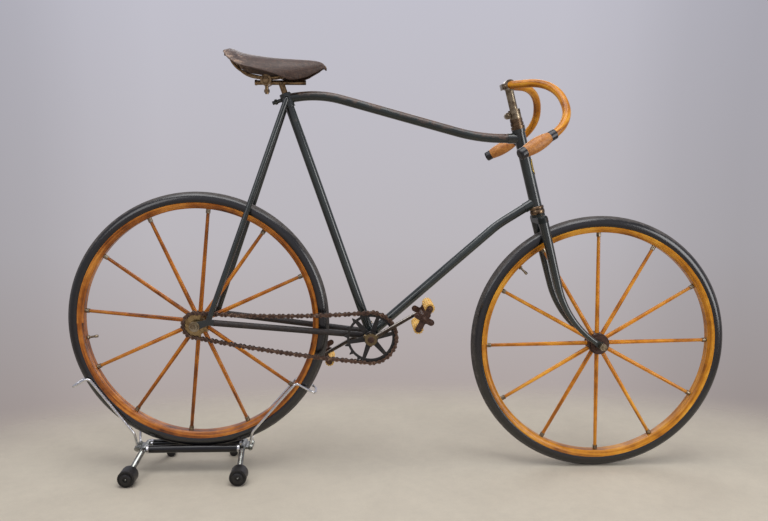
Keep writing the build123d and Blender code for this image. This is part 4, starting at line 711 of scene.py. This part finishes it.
# Each row, in millimetres: back from the post, half width, crown above the T-bar, skirt below the crown
SADDLE_SECTIONS = np.array((
    (145.5, 22.0, 78.0, 2.5),
    (142.5, 44.0, 82.5, 8.0),
    (131.0, 72.0, 87.0, 27.5),
    (114.0, 82.0, 82.5, 36.0),
    (96.0, 83.0, 75.5, 39.0),
    (55.0, 71.0, 68.5, 41.0),
    (12.0, 54.0, 63.5, 47.0),
    (-28.0, 40.0, 61.0, 58.0),
    (-66.0, 28.0, 59.0, 49.0),
    (-84.0, 22.5, 57.6, 39.0),
    (-100.0, 16.5, 55.0, 28.0),
    (-111.0, 12.0, 50.5, 16.0),
    (-118.0, 8.0, 43.0, 9.0),
    (-121.5, 4.5, 35.5, 4.0),
))
SADDLE_ROWS, SADDLE_COLUMNS = 92, 49


def smooth_rows(table, count):
    """A smooth curve through a table's rows: between two rows each value follows a cubic whose slopes
    at the rows are those of the lines between their neighbours."""
    at = np.linspace(0, len(table) - 1, count)
    low = np.minimum(at.astype(int), len(table) - 2)
    share = (at - low)[:, None]
    slope = np.gradient(table, axis=0)
    start, end = table[low], table[low + 1]
    h = share**2 * (3 - 2 * share)
    into = share * (1 - share) ** 2 * slope[low] - share**2 * (1 - share) * slope[low + 1]
    return start + h * (end - start) + into


back, half, crown, skirt = (smooth_rows(SADDLE_SECTIONS, SADDLE_ROWS) / 1000).T[..., None]
bow_radius = (half**2 + skirt**2) / (2 * skirt)
bow_turn = np.linspace(1, -1, SADDLE_COLUMNS)[None] * 2 * np.arctan2(skirt, half)
flat_back = np.broadcast_to(-back, bow_turn.shape)
saddle_rise = crown - bow_radius * (1 - np.cos(bow_turn))
saddle_grid = np.stack([flat_back, bow_radius * np.sin(bow_turn), saddle_rise], -1) + POST_TOP
print("saddle from", saddle_grid[..., 0].min().round(3), "to", saddle_grid[..., 0].max().round(3))

# %% [markdown]
# The leather is dark grey-brown with a fine pebble grain and soft creases. It has worn to tan along the
# rear edge and low on the rear flanks, where the rider's legs rubbed, with small brown scuffs scattered
# over it. The wear follows how far back a point lies and how near the skirt's edge.

# %% Saddle leather
WEAR_FROM, WEAR_TO = -0.375, -0.455
hide = Finish("saddle_hide")
pebbles = hide.cells(0.0021)
crease = hide.mottle(0.016, detail=8, rough=0.7, twist=0.8)
rub = hide.mottle(0.012, detail=8, rough=0.72)
_, hide_across, _ = hide.parts(hide.add("UVMap").outputs[0])
to_edge = hide.sum("ABSOLUTE", hide.times(hide_across, 2.0, -1.0))
rear = hide.rising(hide.parts(hide.place)[0], WEAR_FROM, WEAR_TO)
flank = hide.times(rear, hide.rising(to_edge, 0.25, 1.0))
edge_worn = hide.graded(hide.times(flank, 0.25, rub), (0.60, 0.0), (0.78, 1.0))
scuffs = hide.graded(hide.mottle(0.006, detail=8, rough=0.75), (0.53, 0.0), (0.68, 0.8))
# The grain is drawn lighter where its relief is raised: partly the leather's tone, partly a painted
# highlight on the pebbles and creases
grain_tone_and_highlight = hide.times(pebbles, 0.45, hide.times(crease, 0.75))
dark_hide = hide.graded(grain_tone_and_highlight, (0.35, (24, 16, 13)), (0.72, (78, 58, 48)))
scuffed = hide.blend(scuffs, dark_hide, (104, 78, 62))
tan_hide = hide.graded(grain_tone_and_highlight, (0.35, (92, 68, 54)), (0.72, (168, 142, 122)))
hide.dress(Base_Color=hide.blend(edge_worn, scuffed, tan_hide))
hide.dress(Roughness=hide.times(edge_worn, 0.12, 0.38), Specular_IOR_Level=0.4)
hide.relief(hide.times(pebbles, 0.6, crease), 0.0008)
saddle = piece("saddle_leather_top", saddle_grid, "frame", "saddle_hide", around=False)
wall = saddle.modifiers.new("leather thickness", "SOLIDIFY")
wall.thickness = LEATHER_THICKNESS
wall.offset = -1
smooth = saddle.modifiers.new("rounded edges", "SUBSURF")
smooth.levels = smooth.render_levels = 1
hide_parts("saddle_leather")

# %% [markdown]
# Two stout wires carry the leather. From the rear plate each drops in a bow to the clamp, runs through
# it and rises to the nose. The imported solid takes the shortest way, so the bow is made here: a smooth
# curve through a few places, with the same round wire carried along it.

# %% Saddle wires
WIRE_RADIUS = 0.0034
# Each row, in millimetres: back from the post, half of the wires' spread, height above the T-bar
WIRE_BOW = np.array((
    (129.0, 50.0, 73.0),
    (126.0, 49.5, 60.0),
    (117.0, 47.0, 43.0),
    (103.0, 41.5, 29.0),
    (82.0, 31.0, 19.0),
    (54.0, 19.0, 13.2),
    (38.0, 18.0, 13.0),
    (9.0, 17.5, 13.5),
    (-40.0, 11.5, 29.0),
    (-97.0, 4.3, 50.5),
))
WIRE_STEPS = 90
bow = smooth_rows(WIRE_BOW, WIRE_STEPS) / 1000
wire_grids = []
for side in (-1, 1):
    wire_path = bow * (-1, side, 1) + POST_TOP
    wire_grids.append(carried(wire_path, WIRE_RADIUS, 14))
wires = piece("saddle_bowed_wires", np.stack(wire_grids), "frame", "seat_brass")
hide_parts("saddle_wires")

# %% [markdown]
# The chain is a block chain: solid figure-eight blocks, with a pair of thin side plates between each
# block and the next, and a rivet through every joint. Its line has four stretches: a sagging run above,
# half a turn round the chainring, a sagging run below, and half a turn round the sprocket. Each kind of
# link is one outline, set at even steps along that line and turned along it. Blocks that lie against
# the teeth keep a groove for them, so the wheels can turn through the still chain.

# %% The chain's line
CHAIN_PITCH, RING_TEETH, SPROCKET_TEETH = 25.4, 17, 8
TOP_SAG, LOW_SAG = 9.0, 7.0
LINE_STEPS = 240
ring_centre = np.array([BRACKET[0], BRACKET[2]]) * 1000
sprocket_centre = np.array([REAR_AXLE[0], REAR_AXLE[2]]) * 1000
ring_radius = CHAIN_PITCH / (2 * sin(pi / RING_TEETH))
sprocket_radius = CHAIN_PITCH / (2 * sin(pi / SPROCKET_TEETH))
span = ring_centre - sprocket_centre
drive_lean = asin((ring_radius - sprocket_radius) / hypot(*span))
run_length = hypot(*span) * cos(drive_lean)
top_turn = atan2(span[1], span[0]) + pi / 2 + drive_lean
low_turn = atan2(span[1], span[0]) - pi / 2 - drive_lean


def unit(angle):
    """Direction in the plane of the chain at an angle from forward towards up."""
    return np.stack([np.cos(angle), np.sin(angle)], -1)


share = np.linspace(0, 1, LINE_STEPS)
hang = 4 * (share * (1 - share))[:, None] * (0, 1)
run = share[:, None] * run_length
ring_wrap, sprocket_wrap = top_turn - low_turn, 2 * pi - top_turn + low_turn
top_run = sprocket_centre + sprocket_radius * unit(top_turn) + run * unit(top_turn - pi / 2)
low_run = ring_centre + ring_radius * unit(low_turn) + run * unit(low_turn - pi / 2)
over_ring = ring_centre + ring_radius * unit(top_turn - share * ring_wrap)
over_sprocket = sprocket_centre + sprocket_radius * unit(low_turn - share * sprocket_wrap)
stretches = [top_run - TOP_SAG * hang, over_ring, low_run - LOW_SAG * hang, over_sprocket]
chain_line = np.concatenate(stretches)
wraps = ring_wrap * ring_radius, sprocket_wrap * sprocket_radius
stretch_lengths = np.array([run_length, wraps[0], run_length, wraps[1]])
stretch_starts = np.cumsum(stretch_lengths) - stretch_lengths
chain_marks = (stretch_starts[:, None] + share * stretch_lengths[:, None]).ravel()
chain_length = stretch_lengths.sum()
link_count = round(chain_length / CHAIN_PITCH)
link_step = chain_length / link_count
print("chain links", link_count, "pitch", round(link_step, 2))

# %% Chain links
CHAIN_SIDE = -52.0
BLOCK_HALF, GROOVE_HALF, PLATE_OUT = 4.75, 3.1, 6.55
PIN_SPACING = 15.2
BEVEL = 0.5
TEETH_REACH = 13.2
OUTLINE_POINTS = 20
BLOCK_END, BLOCK_WAIST = 4.7, 3.5
PLATE_END, PLATE_WAIST = 5.9, 2.8
RIVET = ((0.0, 2.7), (0.5, 2.5), (0.9, 1.4))
RIVET_SIDES = 8


def along_chain(distance):
    """Place on the chain's line at a distance, its heading, and the way out of the loop."""
    place = [np.stack([np.interp((distance + step) % chain_length, chain_marks, chain_line[:, axis])
                       for axis in (0, 1)], -1) for step in (-1.0, 0.0, 1.0)]
    heading = unit_length(place[2] - place[0])
    return place[1], heading, np.stack([-heading[:, 1], heading[:, 0]], -1)


def link_outline(pins, end_radius, waist):
    """Outline of a link: a round about each of two pins, joined by a narrower waist."""
    angle = (np.arange(OUTLINE_POINTS) + 0.5) * 2 * pi / OUTLINE_POINTS
    x = (pins / 2 + end_radius) * np.cos(angle)
    half = np.sqrt(np.maximum(end_radius**2 - (np.abs(x) - pins / 2) ** 2, 0))
    half = np.where(np.abs(x) < pins / 2, np.maximum(half, waist), half)
    return np.stack([x, np.sign(np.sin(angle)) * half], -1)


def links(outline, distances, near, far):
    """Grids of links: the outline at four depths from far to near, drawn in a little at both faces.
    Depths are measured from the chain's middle."""
    place, heading, outward = [value[:, None, None] for value in along_chain(distances)]
    drawn_in = 1 - BEVEL / np.abs(outline).max(0)
    shapes = np.stack([outline * drawn_in, outline, outline, outline * drawn_in])
    depth = np.array([far, far - BEVEL, near + BEVEL, near]) + CHAIN_SIDE
    flat = place + shapes[..., :1] * heading + shapes[..., 1:] * outward
    deep = np.broadcast_to(depth[None, :, None], flat.shape[:3])
    return np.stack([flat[..., 0], deep, flat[..., 1]], -1) / 1000


block_places = np.arange(link_count) * link_step
block_points = along_chain(block_places)[0]
near_ring = np.linalg.norm(block_points - ring_centre, axis=1) < ring_radius + TEETH_REACH
from_sprocket = np.linalg.norm(block_points - sprocket_centre, axis=1)
at_teeth = near_ring | (from_sprocket < sprocket_radius + TEETH_REACH)
block_shape = link_outline(link_step - PIN_SPACING, BLOCK_END, BLOCK_WAIST)
plate_shape = link_outline(PIN_SPACING, PLATE_END, PLATE_WAIST)
plate_places = block_places + link_step / 2
near_plates = links(plate_shape, plate_places, -PLATE_OUT, -BLOCK_HALF)
far_plates = links(plate_shape, plate_places, BLOCK_HALF, PLATE_OUT)
all_plates = np.concatenate([near_plates, far_plates])
plates = piece("chain_side_plates", all_plates, "frame", "chain_rust")
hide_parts("chain")
free_blocks = links(block_shape, block_places[~at_teeth], -BLOCK_HALF, BLOCK_HALF)
near_cheeks = links(block_shape, block_places[at_teeth], -BLOCK_HALF, -GROOVE_HALF)
far_cheeks = links(block_shape, block_places[at_teeth], GROOVE_HALF, BLOCK_HALF)
blocks = np.concatenate([free_blocks, near_cheeks, far_cheeks])
piece("chain_blocks", blocks, "frame", "block_rust_and_shade")

pin_places = np.concatenate([plate_places - PIN_SPACING / 2, plate_places + PIN_SPACING / 2])
pins, _, _ = along_chain(pin_places)
rivets = []
for side in (-1, 1):
    face = np.full(len(pins), CHAIN_SIDE + side * PLATE_OUT)
    heads = np.stack([pins[:, 0], face, pins[:, 1]], -1) / 1000
    facing = np.broadcast_to((0.0, side, 0.0), heads.shape)
    rivets.append(turned(np.array(RIVET) / 1000, heads, facing, RIVET_SIDES))
piece("chain_rivets", np.concatenate(rivets), "frame", "rusted_steel")

# %% [markdown]
# Nuts, bolt ends, caps and rivets are all lathe work on a few profiles: a hexagon nut is a profile spun
# in six steps, a dome is a quarter circle, a ring is a plain rod with its edges taken off, and a bead
# bulges in the middle. A row says where each sits, which way it faces, and how wide and high it is.

# %% Fittings
DOME_STEPS = 7
dome_turn = np.linspace(0, 0.96 * pi / 2, DOME_STEPS)
# Each shape: profile for a height and radius of one, and how many sides it is spun in
SHAPES = {
    "hex": (((0.0, 1.0), (0.78, 1.0), (1.0, 0.86)), 6),
    "dome": (np.stack([np.sin(dome_turn), np.cos(dome_turn)], -1), 20),
    "ring": (((0.0, 0.92), (0.12, 1.0), (0.88, 1.0), (1.0, 0.92)), 28),
    "bead": (((0.0, 0.93), (0.15, 0.975), (0.35, 1.0), (0.65, 1.0), (0.85, 0.975), (1.0, 0.93)),
             40),
    "cap": (((0.0, 1.0), (0.25, 1.0), (0.33, 0.96), (0.33, 0.84), (0.08, 0.80), (0.08, 0.66),
             (0.85, 0.62), (1.0, 0.56), (1.0, 0.30), (0.6, 0.26), (0.6, 0.05)), 40),
}
SUNK = 0.0005


def side_way(angle):
    """Direction seen from the side, at an angle from forward towards up."""
    return np.array([cos(angle), 0.0, sin(angle)])


def fittings(name, body, slot, shape, rows, finish=None):
    """Small turned pieces in one mesh: each row gives a place, an axis, a radius and a height, the
    last two in millimetres, and the shape's profile is stretched to them. The finish is the slot's
    own unless another is named."""
    profile, sides = SHAPES[shape]
    stretch = [np.multiply(profile, (high, wide)) / 1000 for _, _, wide, high in rows]
    grids = [turned(lathe, row[0], row[1], sides) for lathe, row in zip(stretch, rows)]
    piece(name, np.concatenate(grids), body, finish or slot)


print("fitting shapes", list(SHAPES))

# %% [markdown]
# Each crank is held on its axle by a cotter, which is a pin with a nut at one end. The axle's ends show
# as low domes in dark rust, which paints the shade inside the hollow cups there, and two bronze beads
# sit at the foot of the head tube. They are placed from the bracket and from the head axis, so that
# they follow where those go.

# %% Crank cotters and headset beads
NEAR, FAR = -LEFT, LEFT
CRANK_ANGLE = radians(29.9)
CRANK_WAY, CRANK_CROSS = side_way(CRANK_ANGLE), side_way(CRANK_ANGLE + pi / 2)
CRANK_LENGTH, CRANK_MIDDLE, CRANK_OUT = 0.1542, 0.0709, 0.0773
COTTER_BACK, COTTER_HALF, COTTER_END = 0.0092, 0.0125, 0.0178
RACE_UP, CUP_UP = 394.4, 407.3
crank_nuts, crank_domes, axle_caps = [], [], []
for side, way in ((NEAR, CRANK_WAY), (FAR, -CRANK_WAY)):
    pin = np.array(BRACKET) + side * CRANK_MIDDLE - way * COTTER_BACK
    crank_nuts += [(pin + CRANK_CROSS * COTTER_HALF, CRANK_CROSS, 6.0, 5.5)]
    crank_domes += [(pin + CRANK_CROSS * COTTER_END, CRANK_CROSS, 3.4, 3.0)]
    crank_domes += [(pin - CRANK_CROSS * COTTER_HALF, -CRANK_CROSS, 4.2, 6.0)]
    axle_caps += [(np.array(BRACKET) + side * (CRANK_OUT - SUNK), side, 9.5, 2.6)]
fittings("crank_cotter_nuts", "cranks", "tarnished_nickel", "hex", crank_nuts, "crank_nickel")
fittings("crank_cotters", "cranks", "tarnished_brass", "dome", crank_domes)
# The dark rust on the axle caps is painted shade, standing for the hollow of each cup
fittings("crank_axle_caps_painted_shade", "cranks", "tarnished_brass", "dome", axle_caps, "rusted_steel")
race = [(steering((0, 0, RACE_UP)), HEAD_UP, 20.0, 12.0)]
cup = [(steering((0, 0, CUP_UP)), HEAD_UP, 19.9, 8.7)]
fittings("lower_race_ring", "steering", "tarnished_brass", "bead", race, "headset_bronze")
fittings("lower_cup_ring", "frame", "tarnished_brass", "bead", cup, "headset_bronze")

# %% [markdown]
# Two bolts pinch the stem, one at the bar's clamp and one at the collar, and each shows a nut and a bolt
# end on both sides. A row holds one bolt, and a loop over the two sides sets what shows of it.

# %% Stem bolts
# Each row: forward and up the head axis, how far out nut and bolt end start, then their two sizes
STEM_BOLTS = (
    (-12.3, 748.9, 14.6, 19.8, (6.4, 5.5), (3.6, 3.2)),
    (-20.0, 671.5, 7.2, 11.9, (7.4, 5.0), (4.0, 3.4)),
)
stem_nuts, stem_ends = [], []
for forward, up, nut_face, end_face, nut_size, end_size in STEM_BOLTS:
    for side in (-1, 1):
        stem_nuts += [(steering((forward, side * nut_face, up)), (0, side, 0), *nut_size)]
        stem_ends += [(steering((forward, side * end_face, up)), (0, side, 0), *end_size)]
fittings("stem_nuts", "steering", "tarnished_nickel", "hex", stem_nuts)
fittings("stem_bolt_ends", "steering", "tarnished_nickel", "dome", stem_ends)

# %% [markdown]
# A nut holds each pedal on its spindle, two smaller nuts hold its rubber blocks, and a rounded head sits
# on each of its bare arms. The two pedals hang at different angles, so every place is worked out from
# the pedal's own angle.

# %% Pedal bolts
PEDAL_FACE = 0.1803
BLOCK_OFFSET, ARM_OFFSET = 0.030, 0.020
NUT_TOP, SMALL_NUT_TOP = 0.0045, 0.0032
for name, side, way, block_angle in (
    ("right_pedal", NEAR, CRANK_WAY, radians(61.5)),
    ("left_pedal", FAR, -CRANK_WAY, radians(122)),
):
    middle = np.array(BRACKET) + way * CRANK_LENGTH + side * (PEDAL_FACE - SUNK)
    to_block = side_way(block_angle) * BLOCK_OFFSET
    to_arm = side_way(block_angle + pi / 2) * ARM_OFFSET
    nuts, ends = [(middle, side, 8.0, 5.0)], [(middle + side * NUT_TOP, side, 4.6, 3.0)]
    nuts += [(middle + step, side, 5.4, 3.6) for step in (to_block, -to_block)]
    ends += [(middle + step, side, 4.4, 2.4) for step in (to_arm, -to_arm)]
    ends += [(middle + step + side * SMALL_NUT_TOP, side, 3.0, 2.0) for step in (to_block, -to_block)]
    fittings(f"{name}_nuts", name, "rusted_steel", "hex", nuts)
    fittings(f"{name}_bolt_ends", name, "rusted_steel", "dome", ends)

# %% [markdown]
# Rivets hold the leather along its rear edge and at the nose, and nuts hold the clamp and the wires. The
# leather is curved, so each rivet takes its place and its direction from the saddle's own grid.

# %% Saddle rivets and nuts
RIVET_ROWS = (5, 86)
REAR_RIVET_COLUMNS = (4, 12, 18, 24, 30, 36, 44)
NOSE_RIVET_COLUMNS = (12, 24, 36)
RIVET_SUNK = 0.0006
UP, DOWN = np.array([0.0, 0.0, 1.0]), np.array([0.0, 0.0, -1.0])
# Places of the nuts, measured from the post's top
TBAR_END = np.array([-0.0632, 0.0, 0.0])
CLAMP_NUT = np.array([-0.038, 0.0226, 0.005])
PLATE_NUT = np.array([-0.136, 0.044, 0.071])


def on_saddle(row, column):
    """Place on the saddle grid and the way outward there, from the grid's neighbours."""
    across_way = saddle_grid[row, column + 1] - saddle_grid[row, column - 1]
    along_way = saddle_grid[row + 1, column] - saddle_grid[row - 1, column]
    return saddle_grid[row, column], unit_length(np.cross(across_way, along_way))


rivet_rows = []
for row, columns in zip(RIVET_ROWS, (REAR_RIVET_COLUMNS, NOSE_RIVET_COLUMNS)):
    for column in columns:
        place, out_way = on_saddle(row, column)
        rivet_rows += [(place - out_way * RIVET_SUNK, out_way, 3.6, 1.8)]
fittings("saddle_rivets", "frame", "tarnished_brass", "dome", rivet_rows, "headset_bronze")
sides = [np.array([1, side, 1]) for side in (-1, 1)]
seat_nuts = [(POST_TOP + TBAR_END, (-1, 0, 0), 8.4, 6.0)]
seat_nuts += [(POST_TOP + CLAMP_NUT * side, LEFT * side, 9.5, 6.5) for side in sides]
seat_nuts += [(POST_TOP + PLATE_NUT * side, DOWN, 5.2, 8.0) for side in sides]
fittings("saddle_nuts", "frame", "tarnished_brass", "hex", seat_nuts, "seat_brass")

# %% [markdown]
# A valve comes through each rim towards the hub, with a cap on its end and a nut at the rim. Both are
# set along the line from the hub through the valve, and turn with the wheel.

# %% Valve caps
CAP_FROM, VALVE_RIM = 0.290, 0.3045
VALVES = (("front", FRONT_AXLE, radians(136)), ("rear", REAR_AXLE, radians(188)))
for wheel, axle, angle in VALVES:
    outward = side_way(angle)
    body, hub = f"{wheel}_wheel", np.array(axle)
    cap = [(hub + outward * CAP_FROM, -outward, 4.0, 9.0)]
    nut = [(hub + outward * VALVE_RIM, outward, 6.2, 4.0)]
    fittings(f"{wheel}_valve_cap", body, "tarnished_nickel", "ring", cap)
    fittings(f"{wheel}_valve_nut", body, "tarnished_nickel", "hex", nut)

# %% [markdown]
# The stand's bars end in chromed collars, nuts above and below hold its wire loops, and the near feet
# have stepped rubber caps with a screw in the middle. They are more of the same lathe work, set from
# the stand's own sizes.

# %% Stand fittings
BAR_Y, BAR_Z = 0.0234, 0.068
BAR_ENDS = (-0.7044, -0.4474)
WIRE_TAILS = (-0.7324, -0.4194)
FOOT_PLACES = (-0.7344, -0.4394)
FOOT_FACE, FOOT_HEIGHT = -0.122, 0.023
TAIL_Y, TAIL_TOP, TAIL_FOOT = 0.016, 0.0708, 0.0652
CAP_SUNK = 0.001
collars = [(np.array([x, y, BAR_Z]), (way, 0, 0), 11.3, 7.0)
           for x, way in zip(BAR_ENDS, (1, -1)) for y in (-BAR_Y, BAR_Y)]
fittings("stand_bar_collars", "frame", "stand_chrome", "ring", collars)
tails = [np.array([x, y, 0.0]) for x in WIRE_TAILS for y in (-TAIL_Y, TAIL_Y)]
wire_nuts = [(tail + UP * TAIL_TOP, UP, 6.4, 5.0) for tail in tails]
wire_nuts += [(tail + UP * TAIL_FOOT, DOWN, 6.4, 4.6) for tail in tails]
fittings("stand_wire_nuts", "frame", "stand_chrome", "hex", wire_nuts, "stand_chrome_darkened")
caps = [(np.array([x, FOOT_FACE + CAP_SUNK, FOOT_HEIGHT]), NEAR, 22.8, 7.0) for x in FOOT_PLACES]
fittings("stand_foot_caps", "frame", "stand_rubber", "cap", caps)
screws = [(np.array([x, FOOT_FACE, FOOT_HEIGHT]), NEAR, 3.6, 5.0) for x in FOOT_PLACES]
fittings("stand_foot_screws", "frame", "stand_chrome", "dome", screws, "stand_chrome_darkened")

# %% [markdown]
# A small oval brass plate is pinned to the front of the head tube. It is left plain. The plate is an
# oval in height and angle, bent round the tube: a flat back, a raised rim and a face a little lower.

# %% Head plate
HEAD_RADIUS = 0.016
PLATE_UP, PLATE_HALF_HEIGHT, PLATE_HALF_ANGLE = 523.0, 0.022, 0.95
# Each row: share of the way out from the middle, height above the tube in millimetres
PLATE_PROFILE = np.array((
    (0.03, -0.4), (0.6, -0.4), (1.0, -0.4), (1.0, 0.9), (0.96, 1.4), (0.88, 1.4), (0.84, 0.9),
    (0.5, 1.0), (0.03, 1.0),
))
PLATE_SIDES = 48

plate_turn = circle(PLATE_SIDES)[None]
out_share, lift = PLATE_PROFILE.T[..., None]
plate_bend = PLATE_HALF_ANGLE * out_share * np.cos(plate_turn)
plate_rise = PLATE_UP / 1000 + PLATE_HALF_HEIGHT * out_share * np.sin(plate_turn)
plate_radius = HEAD_RADIUS + lift / 1000
plate_ahead, plate_left = plate_radius * np.cos(plate_bend), plate_radius * np.sin(plate_bend)
plate_grid = steering(np.stack([plate_ahead, plate_left, plate_rise], -1) * 1000)
piece("head_plate", plate_grid, "frame", "badge_brass")

# %% [markdown]
# Every remaining solid keeps its own mesh and takes one of the finishes. A table names the finish of
# each, so that a change of finish is a change of one word.

# %% Finishes on the solids
NODE_FINISHES = {
    "frame_paint": "bottom_bracket_shell seat_cluster seat_tube down_tube head_tube rear_fork_ends "
    "seat_stays fork_blades fork_tips",
    "dull_paint": "fork_crown",
    "stay_brown": "chain_stays",
    "top_tube_paint": "top_tube",
    "tarnished_nickel": "stem stem_collar front_spoke_ferrules rear_spoke_ferrules front_valve "
    "rear_valve",
    "crank_nickel": "bracket_axle right_crank left_crank",
    "seat_brass": "seat_post saddle_wires saddle_clamp",
    "tarnished_brass": "rear_hub rear_sprocket",
    "axle_steel": "front_axle rear_axle",
    "headset_bronze": "headset",
    "rusted_steel": "front_hub right_pedal_frame left_pedal_frame",
    "chain_rust": "chain",
    "ring_paint": "chainring",
    "front_rim_wood": "front_rim",
    "front_spoke_wood": "front_spokes",
    "rear_rim_wood": "rear_rim",
    "rear_spoke_wood": "rear_spokes",
    "bar_wood": "handlebar",
    "grip_cork": "grips",
    "black_horn": "bar_ferrules grip_caps",
    "front_tyre_rubber": "front_tyre",
    "rear_tyre_rubber": "rear_tyre",
    "saddle_hide": "saddle_leather",
    "pedal_rubber": "right_pedal_blocks left_pedal_blocks",
    "stand_black": "stand_bars",
    "stand_chrome": "stand_front_loop stand_rear_loop",
    "stand_chrome_darkened": "stand_front_leg stand_rear_leg",
    "stand_rubber": "stand_front_feet stand_rear_feet",
}
for finish, names in NODE_FINISHES.items():
    for name in names.split():
        nodes[name].data.materials.clear()
        nodes[name].data.materials.append(finishes[finish])
dressed = {name for names in NODE_FINISHES.values() for name in names.split()}
print("solids without a finish:", sorted(set(nodes) - dressed))
